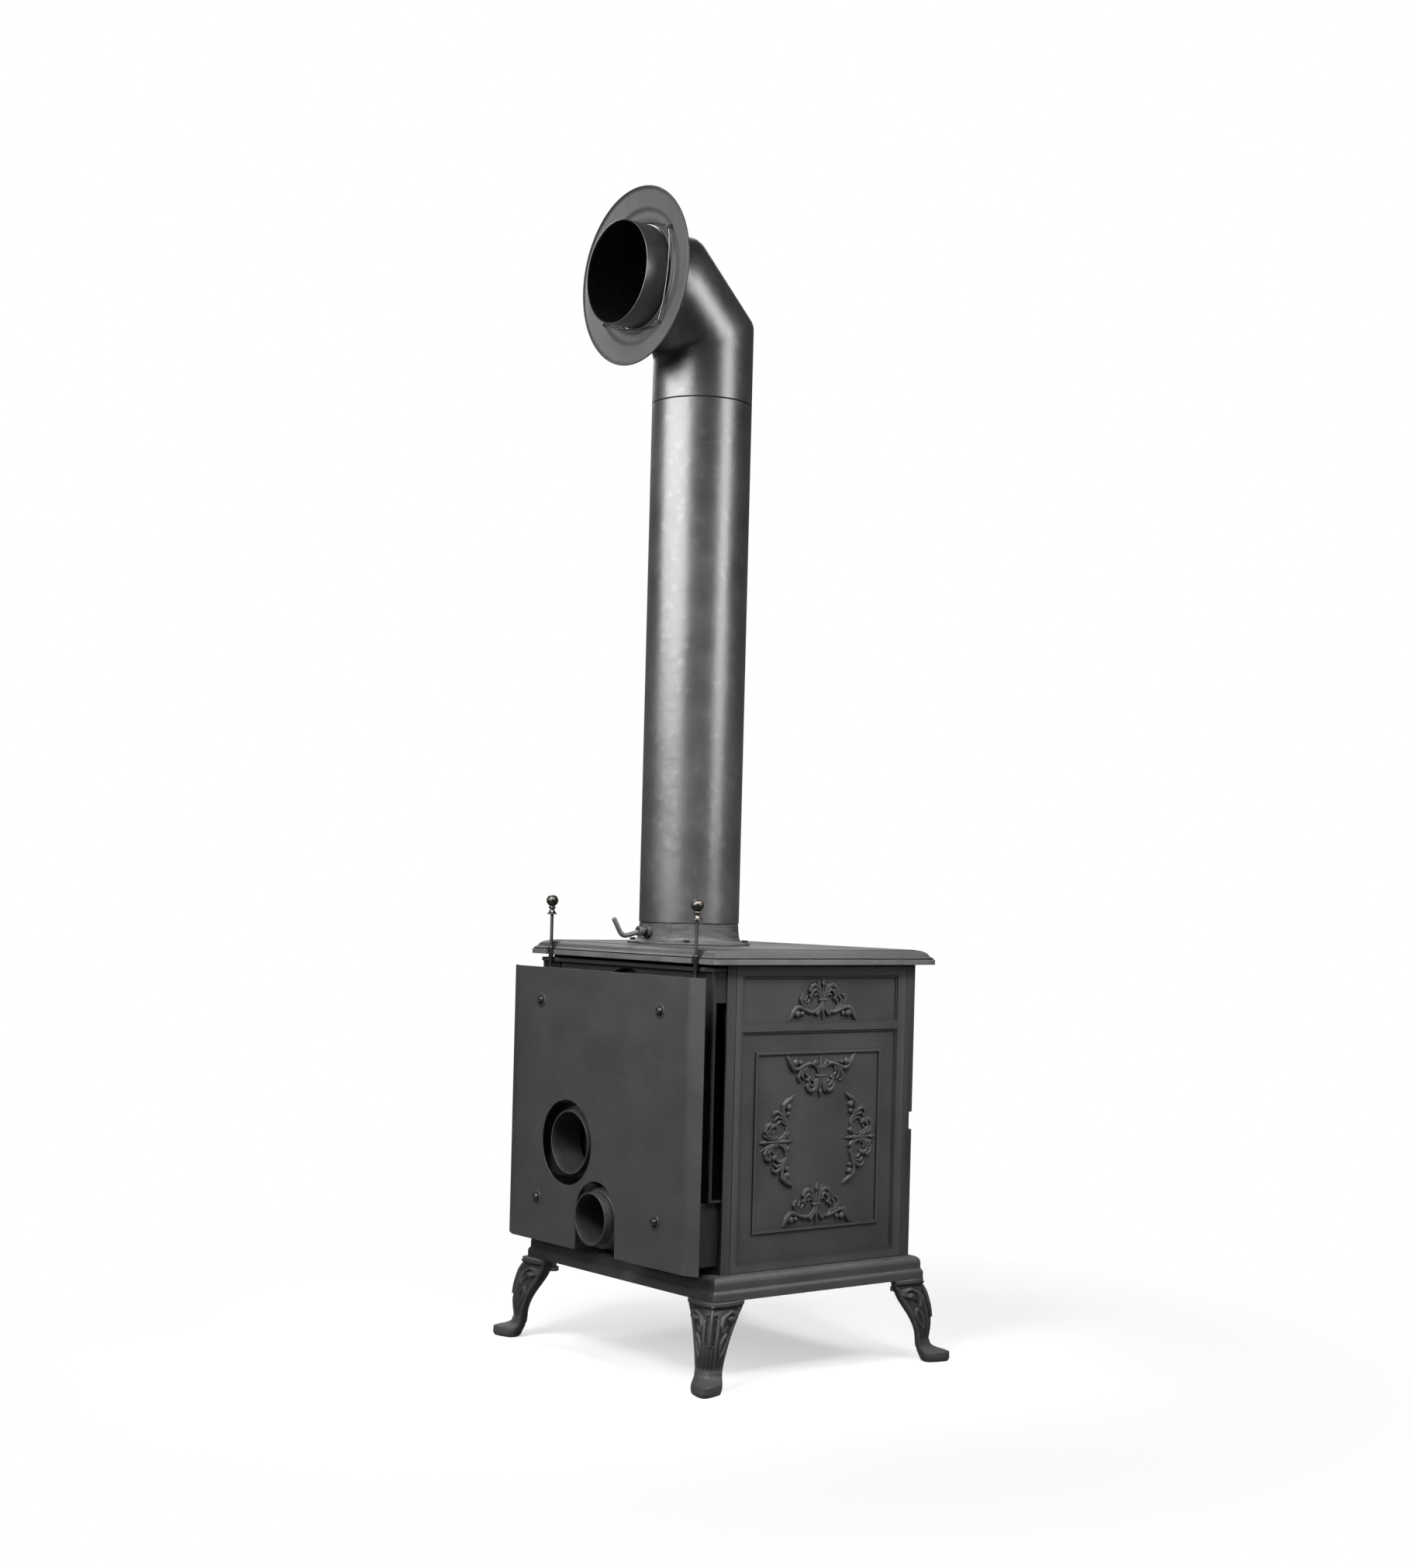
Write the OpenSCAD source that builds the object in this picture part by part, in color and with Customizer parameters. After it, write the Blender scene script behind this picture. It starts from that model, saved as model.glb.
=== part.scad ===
// Cast-iron box stove on cabriole legs with a 150 mm flue, a mitred elbow and a wall rosette.
// Millimetres. Z = 0 is the floor, X = 0 the plane of symmetry, -Y the door side, +Y the flue side.

/* [Body] */
// Height of the base plate's lower edge above the floor
leg_h = 122; // [100:1:160]
// Height of the base plate casting
base_h = 34; // [26:1:50]
// Height of the four walls between base plate and top plate
wall_h = 436; // [400:1:520]
// Width over the two side panels
body_w = 428; // [400:1:480]
// Length over the front frame and the rear panel
body_l = 363; // [350:1:420]
// Wall thickness of the castings
cast_t = 8; // [6:0.5:10]
// Overhang of the base plate past the side panels
base_over = 17; // [10:1:26]
// Overhang of the base plate past the front and the rear
base_over_y = 20; // [16:1:30]

/* [Top plate] */
// Overhang of the top plate past the side panels
top_over = 15; // [8:1:26]
// Overhang of the top plate past the front and the rear
top_over_y = 33; // [33:1:44]
// Height of the top plate from lip to hot surface
top_h = 22; // [18:1:30]
// Height of the flat lip round the top plate
lip_h = 8; // [5:1:10]
// How far the moulded edge runs in from the lip
ogee_w = 20; // [14:1:28]
// Width of the notch that lets a pull rod through
notch_w = 18; // [11:1:20]

/* [Flue] */
// Outer radius of the flue pipe
pipe_r = 75; // [60:1:80]
// Wall of the flue pipe
pipe_t = 1.5; // [1:0.25:2.5]
// Distance of the flue axis behind the middle of the body
flue_y = 81; // [70:1:84]
// Height of the collar above the hot surface
collar_h = 32; // [30:1:44]
// Length of the straight pipe
pipe_l = 775; // [500:5:1000]
// Rise from the top of the pipe to the first mitre of the elbow
elbow_leg = 101; // [85:1:140]
// Rise from the first mitre to the axis of the horizontal leg
elbow_rise = 71; // [68:1:110]
// Length of the horizontal leg of the elbow
elbow_out = 94; // [70:1:110]
// Outer radius of the wall rosette
rosette_r = 130; // [115:1:150]
// Distance from the pipe's open end to the rosette
rosette_back = 32; // [24:1:45]

/* [Door and drawer] */
// Width of the door
door_w = 340; // [320:2:360]
// Height of the door
door_h = 316; // [280:2:330]
// Thickness of the door casting
door_t = 14; // [12:1:18]
// Width of the border round the door glass
door_border = 52; // [44:1:66]
// Thickness of the glass
glass_t = 4; // [3:0.5:5]
// Radius of a hinge pin
hinge_r = 4; // [3:0.5:5]
// Running clearance of pins and spindles, on the radius
run = 0.08; // [0.02:0.01:0.1]
// Width of the ash drawer
drawer_w = 236; // [200:2:260]
// Height of the ash drawer's front
drawer_h = 70; // [60:1:76]

/* [Rear air controls] */
// Distance of the heat shield behind the rear panel
shield_gap = 66.5; // [60:0.5:90]
// Thickness of the heat shield
shield_t = 1.5; // [1:0.25:2.5]
// Width of the flat part of the heat shield
shield_w = 424; // [400:2:460]
// Height of the heat shield
shield_h = 412; // [380:2:430]
// Width of the strip bent in along each side of the shield
strip_w = 25; // [16:1:34]
// Angle of the bent strips
strip_a = 24; // [10:1:45]
// Outer radius of the upper air spigot
upper_r = 47.5; // [40:0.5:52]
// Outer radius of the lower air spigot
lower_r = 38.5; // [32:0.5:42]
// Wall of the air spigots
spigot_t = 2.5; // [1.5:0.25:4]
// Distance of each pull rod from the middle
rod_x = 179; // [172:1:184]
// Radius of a pull rod
rod_r = 2.5; // [2:0.25:3]
// Travel of a pull rod
rod_travel = 36; // [24:1:38]

/* [Inside] */
// Thickness of the fire bricks
brick_t = 25; // [20:1:30]
// Height of the smoke passage between the bricks and the top plate
smoke_gap = 50; // [44:1:86]
// Number of bars in the grate
bars = 9; // [6:1:12]

/* [Hidden] */
$fn = 64;
fit = 0.3;
eps = 0.01;
// radius of the fixing screws and rods
m6 = 3;
// levels
base_z = leg_h;
floor_z = base_z + base_h;
lip_z = floor_z + wall_h;
hot_z = lip_z + top_h;
// plan of the body; it stands a little forward so that the whole piece is centred on the origin
body_shift = 4.5;
rear_y = body_l/2 - body_shift;
front_y = rear_y - body_l;
side_x = body_w/2;
frame_t = 18;
rear_t = 16;
in_rear = rear_y - rear_t;
in_front = front_y + frame_t;
in_x = side_x - cast_t;
// top plate
top_x = side_x + top_over;
top_rear = rear_y + top_over_y + 2;
top_front = front_y - top_over_y + 2;
// flue
collar_z = hot_z + collar_h;
collar_bolt_r = pipe_r + 11;
pipe_top = collar_z + pipe_l;
mitre_z = pipe_top + elbow_leg;
axis_z = mitre_z + elbow_rise;
elbow_end = flue_y + elbow_rise + elbow_out;
rosette_y = elbow_end - rosette_back;
bore_r = pipe_r - pipe_t - fit - 2.9;
swage_r = pipe_r - pipe_t - fit;
spindle_z = hot_z + 19;
spindle_r = 4;
disc_r = bore_r - 4;
// door
door_x = -door_w/2;
door_z = floor_z + 84;
door_gap = 2;
door_back = front_y - door_gap;
door_front = door_back - door_t;
open_w = door_w - 40;
open_h = door_h - 40;
open_z = door_z + 20;
glass_w = door_w - 2*door_border + 20;
glass_h = door_h - 2*door_border + 20;
glass_z = door_z + door_border - 10;
hinge_x = door_x - 15;
hinge_y = door_front + 6;
knuckle_r = hinge_r + 4.5;
knuckle_h = 30;
hinge_z = [door_z + 40, door_z + door_h - 40 - knuckle_h];
latch_x = open_w/2 - 14;
latch_out = 34;
latch_z = door_z + door_h/2;
latch_r = 5;
// ash drawer
runner_h = 7;
drawer_z = floor_z + runner_h + fit;
drawer_in_h = drawer_h - 12;
drawer_l = 270;
drawer_front_z = floor_z + 6;
// inside
shelf_z = floor_z + 84;
shelf_t = 6;
well_w = 210;
well_l = 200;
brick_z = shelf_z + shelf_t;
brick_h = lip_z - smoke_gap - brick_z;
baffle_t = 6;
// rear air controls
rod_y = rear_y + 30;
shield_y = rear_y + shield_gap;
shield_z = floor_z + 6;
chest_d = 45;
chest_t = 4;
chest_y = rear_y + chest_d;
upper_x = 74;
upper_z = floor_z + 160.5;
lower_x = -3;
lower_z = floor_z + 57.5;
upper_box = [14, floor_z + 106, 190, 110];
lower_box = [-204, floor_z + 12, 260, 90];
upper_mouth = shield_y - shield_t - 3.5;
lower_mouth = shield_y + 9.5;
gate_h = rod_travel;
port_r = rod_travel/2 - 5;
gate_w = 2*port_r + 6;
upper_port_z = upper_box[1] + chest_t + gate_h/2;
lower_port_z = lower_box[1] + chest_t + gate_h/2;
sleeve_r = 4;
sleeve_l = 27;
sleeve_z = lip_z - 15;
knob_h = 30;
knob_z = hot_z + 39;
screw_x = 147;
low_screw = 71;
high_screw = 368;
screw_z = [floor_z + low_screw, floor_z + high_screw];
tie_x = in_x - 10;
tie_y = [in_front + 10, in_rear - 10];

iron = [0.19, 0.19, 0.20];
sheet = [0.24, 0.24, 0.25];
nickel = [0.20, 0.19, 0.18];
steel = [0.55, 0.55, 0.56];

// ---- shared shapes ----

// round bar between two points
module bar(a, b, r) {
    d = b - a;
    l = norm(d);
    translate(a) rotate([0, acos(d[2]/l), atan2(d[1], d[0])]) cylinder(h = l, r = r);
}

// box between two corners
module block(a, b) { translate(a) cube(b - a); }

// cylinder along +Y from y0 to y1
module ycyl(x, z, y0, y1, r) { translate([x, y0, z]) rotate([-90, 0, 0]) cylinder(h = y1 - y0, r = r); }

// tube along +Z
module ztube(z0, z1, ro, ri) {
    translate([0, 0, z0]) rotate_extrude() translate([ri, 0]) square([ro - ri, z1 - z0]);
}

// solid skinned over a stack of rings that all have the same number of points
module skin(rings) {
    n = len(rings[0]);
    m = len(rings);
    pts = [for (r = rings) for (p = r) p];
    sides = [for (j = [0:m - 2]) for (i = [0:n - 1]) let (k = (i + 1) % n)
        each [[j*n + i, (j + 1)*n + k, j*n + k], [j*n + i, (j + 1)*n + i, (j + 1)*n + k]]];
    caps = [[for (i = [0:n - 1]) i], [for (i = [n - 1:-1:0]) (m - 1)*n + i]];
    polyhedron(points = pts, faces = concat(sides, caps), convexity = 6);
}

// rounded, slightly bowed rectangle: a superellipse between two Y values
function bowed(ax, y0, y1, p, z, n = 64) = [for (i = [0:n - 1])
    let (t = 360*i/n, c = cos(t), s = sin(t), by = (y1 - y0)/2)
    [ax*sign(c)*pow(abs(c), 2/p), (y0 + y1)/2 + by*sign(s)*pow(abs(s), 2/p), z]];

// pan-head screw along +Y, head's bearing face at y
module pan_screw(x, z, y, l, r, head_r, head_h) {
    ycyl(x, z, y - l, y, r);
    translate([x, y, z]) rotate([-90, 0, 0]) rotate_extrude()
        polygon([[0, 0], [head_r, 0], [head_r, 0.35*head_h], [0.8*head_r, 0.8*head_h],
            [0.4*head_r, head_h], [0, head_h]]);
}

// ---- base and legs ----

// one run of the base moulding: rounded shoulder, groove, bead and flat lip
function base_edge(o) = [[0, floor_z], [o - 13, floor_z], [o - 8, floor_z - 1.5], [o - 4.5, floor_z - 4.5],
    [o - 3, floor_z - 9], [o - 3, floor_z - 19], [o - 1, floor_z - 21], [o, floor_z - 23.5],
    [o, base_z], [0, base_z]];

module base_solid() {
    hx = side_x + base_over;
    y0 = front_y - base_over_y + 4;
    y1 = rear_y + base_over_y + 4;
    ym = (y0 + y1)/2;
    hy = (y1 - y0)/2;
    intersection() {
        translate([0, y1 + 1, 0]) rotate([90, 0, 0]) linear_extrude(y1 - y0 + 2)
            union() {
                polygon(base_edge(hx));
                mirror([1, 0]) polygon(base_edge(hx));
            }
        translate([-hx - 1, ym, 0]) rotate([90, 0, 90]) linear_extrude(2*hx + 2)
            union() {
                polygon(base_edge(hy));
                mirror([1, 0]) polygon(base_edge(hy));
            }
    }
}

module base_plate() color(iron) {
    hx = side_x + base_over;
    y0 = front_y - base_over_y + 4;
    y1 = rear_y + base_over_y + 4;
    difference() {
        base_solid();
        // hollow underside, with a boss left standing over each leg
        difference() {
            block([-hx + 12, y0 + 12, base_z - 1], [hx - 12, y1 - 12, floor_z - cast_t]);
            for (sx = [-1, 1], k = [0, 1])
                translate([sx*corner[0], corner[1 + k], base_z - 2]) rotate([0, 0, sx > 0 ? 135*(1 - 2*k) : 45*(1 - 2*k)])
                    translate([10, -13, 0]) cube([35.5, 26, base_h]);
        }
        for (sx = [-1, 1], sy = [0, 1])
            translate([sx*leg_bolt[0], leg_bolt[1 + sy], base_z]) cylinder(h = base_h + 1, r = 5.2);
        for (sx = [-1, 1], y = tie_y)
            translate([sx*tie_x, y, base_z]) cylinder(h = base_h + 1, r = m6 + fit);
    }
    for (sx = [-1, 1])
        translate([sx*(drawer_w/2 - 14) - 4, in_front + 4, floor_z - eps])
            cube([8, drawer_l - 6, runner_h + eps]);
}

// stations of a cabriole leg from sole to top:
// height as a share of the leg, reach of the ridge, reach of the back, half width, wing depth
leg_table = [[0.00, 43, 3, 19.5, 16], [0.03, 45, 1, 21, 16], [0.08, 45, -2, 22, 14],
    [0.125, 40, -4, 21.5, 10], [0.17, 22, -6, 20, 4], [0.24, 15, -7, 19.5, 2], [0.33, 16, -8, 20.5, 0],
    [0.44, 18, -12, 22.5, -4], [0.55, 18, -19, 25, -9], [0.66, 16, -28, 28, -16],
    [0.75, 13, -35, 31, -23], [0.84, 9, -40, 34, -29], [0.93, 3, -44, 38, -35], [1.00, 2, -44, 39, -37]];

// kite-shaped ring of a leg: ridge at the front, two wings, flat back; s runs out along the diagonal
function leg_ring(t) = let (z = t[0]*leg_h, o = t[1], b = t[2], w = t[3], d = t[4]) [
    [o, 0], [o - 0.04*(o - d), 0.16*w], [o - 0.30*(o - d), 0.48*w], [o - 0.66*(o - d), 0.80*w],
    [d, w], [d - 0.35*(d - b), 0.93*w], [b + 0.15*(d - b), 0.55*w], [b, 0.2*w],
    [b, -0.2*w], [b + 0.15*(d - b), -0.55*w], [d - 0.35*(d - b), -0.93*w], [d, -w],
    [o - 0.66*(o - d), -0.80*w], [o - 0.30*(o - d), -0.48*w], [o - 0.04*(o - d), -0.16*w]];

corner = [side_x + base_over - 3, front_y - base_over_y + 7, rear_y + base_over_y + 1];
leg_bolt = [corner[0] - 26, corner[1] + 26, corner[2] - 26];

// leg in its own place: +X is the outward diagonal, the corner of the base at the origin
module leg_shape() {
    rings = [for (t = leg_table) [for (p = leg_ring(t)) [p[0], p[1], t[0]*leg_h]]];
    difference() {
        union() {
            skin(rings);
            block([-51, -15, leg_h - 8], [-22, 15, leg_h]);
        }
        translate([-36.8, 0, leg_h - 30]) cylinder(h = 31, r = 5.2);
        translate([-36.8, 0, leg_h - 31]) cylinder(h = 17, r = 11);
    }
}

module leg(sx, y, a) color(iron) translate([sx*corner[0], y, 0]) rotate([0, 0, a]) leg_shape();
module leg_front_left() leg(-1, corner[1], -135);
module leg_front_right() leg(1, corner[1], -45);
module leg_rear_left() leg(-1, corner[2], 135);
module leg_rear_right() leg(1, corner[2], 45);

module leg_bolts() color(steel)
    for (sx = [-1, 1], sy = [0, 1])
        translate([sx*leg_bolt[0], leg_bolt[1 + sy], 0]) {
            translate([0, 0, leg_h - 21]) cylinder(h = 7, r = 8.5, $fn = 6);
            translate([0, 0, leg_h - 14 - eps]) cylinder(h = 13 + base_h, r = 5);
        }

// ---- walls ----

band_y = [in_front + 17.5, in_rear - 13];
upper_band = [floor_z + 352, floor_z + 419];
lower_band = [floor_z + 13, floor_z + 340];
bead_y = [in_front + 47.5, in_rear - 40];
bead_z = [floor_z + 53, floor_z + 312];

// rectangle between two corners with a border of width w left standing
module frame2d(a, b, w) difference() {
    translate(a) square(b - a);
    translate(a + [w, w]) square(b - a - 2*[w, w]);
}

module side_panel() {
    inner = in_rear - in_front;
    difference() {
        block([-side_x, in_front, floor_z], [-in_x, in_rear, lip_z]);
        for (b = [upper_band, lower_band]) {
            block([-side_x - 1, band_y[0], b[0]], [-side_x + 1.5, band_y[1], b[1]]);
            block([-side_x - 1, band_y[0] + 3, b[0] + 3], [-side_x + 3, band_y[1] - 3, b[1] - 3]);
        }
    }
    translate([-side_x + 0.6, 0, 0]) rotate([90, 0, 90]) linear_extrude(2.5)
        frame2d([bead_y[0], bead_z[0]], [bead_y[1], bead_z[1]], 5);
    // lug that carries the grate shelf
    block([-in_x - eps, in_front + 24, shelf_z - 8], [-in_x + 10, in_rear - 24, shelf_z]);
}

module left_side_panel() color(iron) side_panel();
module right_side_panel() color(iron) mirror([1, 0, 0]) side_panel();

module rear_panel() color(iron) {
    face = rear_y - 3;
    difference() {
        union() {
            block([-side_x, face - cast_t, floor_z], [side_x, face, lip_z]);
            // rim that laps the side panels
            translate([0, rear_y, 0]) rotate([90, 0, 0]) linear_extrude(rear_t)
                frame2d([-side_x, floor_z], [side_x, lip_z], cast_t - 1);
            // ledge under the top plate, and the border that hangs from it
            block([-side_x + 2, face - 1, ledge_z - 6], [side_x - 2, post_y + 4, ledge_z]);
            block([-post_in + 3, post_y - 7, ledge_z - 27], [post_in - 3, post_y - 2, ledge_z - 5]);
            corner_post(lower_box);
            mirror([1, 0, 0]) corner_post(upper_box);
            // raised pads under the blanking plate, the air chests and the spacers
            ycyl(0, blank_z, face - 1, rear_y, blank_r + 3);
            chest_pad(upper_box);
            chest_pad(lower_box);
            for (p = panel_screws) ycyl(p[0], p[1], face - 1, rear_y, 11);
            // guides on each side of the two air gates
            gate_guides(rod_x, upper_box);
            gate_guides(-rod_x, lower_box);
        }
        ycyl(0, blank_z, face - cast_t - 1, rear_y + 1, blank_r - 12);
        // arch in the border, clear of the blanking plate
        ycyl(0, blank_z, post_y - 10, post_y + 1, blank_r + 2);
        ycyl(rod_x, upper_port_z, face - cast_t - 1, rear_y + 1, port_r);
        ycyl(-rod_x, lower_port_z, face - cast_t - 1, rear_y + 1, port_r);
        for (p = panel_screws) ycyl(p[0], p[1], face - 6, rear_y + 1, m6 + fit);
        for (a = [45:90:315]) ycyl(blank_bolt_r*cos(a), blank_z + blank_bolt_r*sin(a),
            face - 6, rear_y + 1, m6 + fit);
    }
}
// post at a rear corner, L-shaped in plan with a bead down its edge; it ends on an air chest
module corner_post(b) translate([0, 0, b[1] + b[3] + fit]) linear_extrude(ledge_z - 5 - b[1] - b[3] - fit) {
    translate([-side_x + 3, rear_y - 4]) square([5, post_y - rear_y + 3]);
    translate([-side_x + 3, post_y - 6]) square([side_x - 3 - post_in, 5]);
    translate([-side_x + 6, post_y - 1]) circle(3.75);
}
ledge_z = lip_z - 5;
post_y = rear_y + 20;
post_in = rod_x - 7.5;
blank_r = 75;
blank_bolt_r = blank_r - 6;
blank_z = floor_z + 345;
// shield screws that go into the panel itself; the fourth goes into the lower air chest
panel_screws = [[-screw_x, screw_z[1]], [screw_x, screw_z[0]], [screw_x, screw_z[1]]];
module gate_guides(x, b) for (sx = [-1, 1])
    block([x + sx*(gate_w/2 + 2.5) - 1.9, rear_y - 1, b[1] + chest_t + fit],
        [x + sx*(gate_w/2 + 2.5) + 1.9, rear_y + 4, b[1] + b[3] - chest_t - fit]);
module chest_pad(b) block([b[0], rear_y - 4, b[1]], [b[0] + b[2], rear_y, b[1] + b[3]]);

module front_frame() color(iron) {
    difference() {
        union() {
            block([-side_x, front_y, floor_z], [side_x, front_y + 10, lip_z]);
            // flange that laps the side panels
            for (sx = [-1, 1]) mirror([sx < 0 ? 1 : 0, 0, 0])
                block([side_x - 22, front_y, floor_z], [side_x, in_front, lip_z]);
            block([-side_x, front_y, lip_z - 20], [side_x, in_front, lip_z]);
            // hinge eyes above and below each door knuckle
            for (z = hinge_z, dz = [-12 - fit, knuckle_h + fit]) hinge_eye(z + dz);
            // strike behind which the latch turns
            block([open_w/2, front_y + 9, latch_z - 16], [open_w/2 + 22, in_front, latch_z + 16]);
            // raised frame round the drawer opening
            translate([0, front_y + 1, 0]) rotate([90, 0, 0]) linear_extrude(3)
                frame2d([-drawer_w/2 - 14, floor_z + 1], [drawer_w/2 + 14, drawer_front_z + drawer_h + 6], 4);
        }
        block([-open_w/2, front_y - 1, open_z], [open_w/2, in_front + 1, open_z + open_h]);
        block([-drawer_w/2 - 2, front_y - 1, floor_z + runner_h - 2],
            [drawer_w/2 + 2, in_front + 1, drawer_z + drawer_in_h + 4]);
        for (z = hinge_z, dz = [-12 - fit, knuckle_h + fit])
            translate([hinge_x, hinge_y, z + dz - 1]) cylinder(h = 14, r = hinge_r);
        // relief half-way up each edge
        for (sx = [-1, 1]) translate([sx*side_x, front_y, floor_z + 202])
            rotate([0, 0, 45]) cube([9, 9, 26], center = true);
    }
}

module hinge_eye(z) {
    translate([hinge_x, hinge_y, z]) cylinder(h = 12, r = knuckle_r);
    block([hinge_x - knuckle_r, hinge_y, z], [hinge_x + 4, front_y + 1, z + 12]);
}

module hinge_pins() color(steel)
    for (z = hinge_z) {
        translate([hinge_x, hinge_y, z - 12]) cylinder(h = knuckle_h + 26, r = hinge_r);
        translate([hinge_x, hinge_y, z + knuckle_h + 12.4]) cylinder(h = 3, r1 = hinge_r + 2, r2 = hinge_r);
    }

// ---- top plate ----

// moulded edge as inset and height above the lip's lower edge
ogee = [[0, 0], [0, 1], [0.06, 1.5], [3/20, 1.8], [6/20, 2.6], [8/20, 3.6], [11/20, 4.4], [15/20, 5], [1, 5.3]];
function ogee_ring(k) = let (t = ogee[k], i = t[0]*ogee_w,
    z = k == 0 ? lip_z : k == 1 ? lip_z + lip_h : lip_z + lip_h + (top_h - 1 - lip_h)*(t[1] - 1)/4.3)
    bowed(top_x - i, top_front + i, top_rear - i, top_bow, z);

top_bow = 60;
module top_plate() color(iron) {
    difference() {
        skin(concat([for (k = [0:len(ogee) - 1]) ogee_ring(k)],
            [bowed(top_x - ogee_w - 12, top_front + ogee_w + 12, top_rear - ogee_w - 12, top_bow, hot_z)]));
        block([-in_x + 8, in_front + 4, lip_z - 1], [in_x - 8, in_rear - 4, hot_z - cast_t]);
        translate([0, flue_y, lip_z - 1]) cylinder(h = top_h + 2, r = bore_r);
        // notches, wider on the left of each rod
        for (sx = [-1, 1]) block([sx*rod_x - notch_w + sleeve_r + 1, rod_y - 8.5, lip_z - 1],
            [sx*rod_x + sleeve_r + 1, top_rear + 10, hot_z + 1]);
        for (sx = [-1, 1], y = tie_y)
            translate([sx*tie_x, y, lip_z - 1]) cylinder(h = top_h - 2, r = m6 + fit);
        for (a = collar_a) translate([collar_bolt_r*cos(a), flue_y + collar_bolt_r*sin(a), hot_z - 12])
            cylinder(h = 14, r = m6 + fit);
    }
}

module tie_rods() color(steel)
    for (sx = [-1, 1], y = tie_y) translate([sx*tie_x, y, 0]) {
        translate([0, 0, floor_z - cast_t - 7]) cylinder(h = wall_h + cast_t + 7 + top_h - 3.5, r = m6);
        translate([0, 0, floor_z - cast_t - 5]) cylinder(h = 5, r = 5.5, $fn = 6);
    }

// ---- flue ----

collar_a = [40, 140, 220, 320];

module flue_collar() color(iron) translate([0, flue_y, 0])
    difference() {
        union() {
            translate([0, 0, hot_z]) rotate_extrude()
                polygon([[bore_r, 0], [pipe_r + 17, 0], [pipe_r + 17, 3], [pipe_r + 16, 4],
                    [pipe_r + 5, 4.5], [pipe_r + 2.5, 6.5], [pipe_r + 1, 11], [pipe_r - 0.5, 20],
                    [swage_r, collar_h], [swage_r - 0.7, collar_h + 45], [bore_r, collar_h + 45]]);
            for (s = [0, 180]) rotate([0, 0, s]) translate([0, bore_r, spindle_z]) rotate([-90, 0, 0])
                cylinder(h = pipe_r - bore_r + 7, r = 9.5);
        }
        translate([0, 0, hot_z - 1]) cylinder(h = collar_h + 60, r = bore_r);
        translate([0, -pipe_r - 20, spindle_z]) rotate([-90, 0, 0]) cylinder(h = 2*pipe_r + 40, r = spindle_r + 2);
        for (a = collar_a) translate([collar_bolt_r*cos(a), collar_bolt_r*sin(a), hot_z - 1])
            cylinder(h = 14, r = m6 + fit);
    }

module collar_bolts() color(steel) translate([0, flue_y, 0])
    for (a = collar_a) translate([collar_bolt_r*cos(a), collar_bolt_r*sin(a), 0]) {
        translate([0, 0, hot_z - 10]) cylinder(h = 15, r = m6);
        translate([0, 0, hot_z + 4.7]) cylinder(h = 3.5, r = 4.6, $fn = 6);
    }

// bushes that carry the damper spindle in the collar's bosses
module damper_bushes() color(steel) translate([0, flue_y, spindle_z])
    for (s = [0, 180]) rotate([0, 0, s]) rotate([-90, 0, 0])
        translate([0, 0, bore_r + 1]) rotate_extrude()
            translate([spindle_r + run, 0]) square([2 - run, pipe_r - bore_r + 5]);

module damper_spindle() color(sheet) translate([0, flue_y, spindle_z]) {
    end_y = pipe_r + 13;
    difference() {
        rotate([90, 0, 0]) translate([0, 0, -end_y]) cylinder(h = pipe_r + 8 + end_y, r = spindle_r);
        for (y = [-38, 38]) translate([-20, y, 0]) rotate([0, 90, 0]) cylinder(h = 40, r = 2.5);
    }
    // washer and cranked handle outside the collar
    rotate([-90, 0, 0]) translate([0, 0, pipe_r + 7.3]) cylinder(h = 3, r = 8);
    p = [[0, end_y - 3, 0], [4, end_y + 31, -8], [7, end_y + 44, 17]];
    bar(p[0], p[1], 3);
    bar(p[1], p[2], 3);
    for (q = p) translate(q) sphere(r = 3.6);
}

module damper_disc() color(iron) translate([0, flue_y, spindle_z])
    difference() {
        rotate([0, 90, 0]) translate([0, 0, spindle_r]) cylinder(h = 3, r = disc_r);
            for (y = [-38, 38]) translate([0, y, 0]) rotate([0, 90, 0]) cylinder(h = 20, r = 2.5);
    }

module damper_screws() color(steel) translate([0, flue_y, spindle_z])
    for (y = [-38, 38]) translate([-spindle_r - 2, y, 0]) rotate([0, 90, 0]) {
        cylinder(h = 2*spindle_r + 8, r = 2.5);
        translate([0, 0, 2*spindle_r + 5]) cylinder(h = 3, r = 4.5, $fn = 6);
    }

module flue_pipe() color(sheet) translate([0, flue_y, 0])
    ztube(collar_z, pipe_top, pipe_r, pipe_r - pipe_t);

// half-space below a mitre plane that leans by a about X, through point [y, z]
module under(y, z, a) translate([0, y, z]) rotate([a, 0, 0]) translate([-300, -600, -600]) cube([600, 1200, 600]);

// lobster-back elbow of three straight sections, solid with radius r
module elbow_solid(r, lo, out) {
    intersection() {
        translate([0, 0, lo]) cylinder(h = mitre_z - lo + 2*r, r = r);
        under(0, mitre_z, -22.5);
    }
    difference() {
        translate([0, -2*r, mitre_z - 2*r]) rotate([-45, 0, 0]) cylinder(h = 4*r*sqrt(2) + 2*elbow_rise, r = r);
        under(0, mitre_z, -22.5);
        translate([0, elbow_rise, axis_z]) rotate([-67.5, 0, 0]) translate([-300, -600, 0]) cube([600, 1200, 600]);
    }
    difference() {
        translate([0, elbow_rise - 2*r, axis_z]) rotate([-90, 0, 0]) cylinder(h = out - elbow_rise + 2*r, r = r);
        under(elbow_rise, axis_z, -67.5);
    }
}

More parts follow.
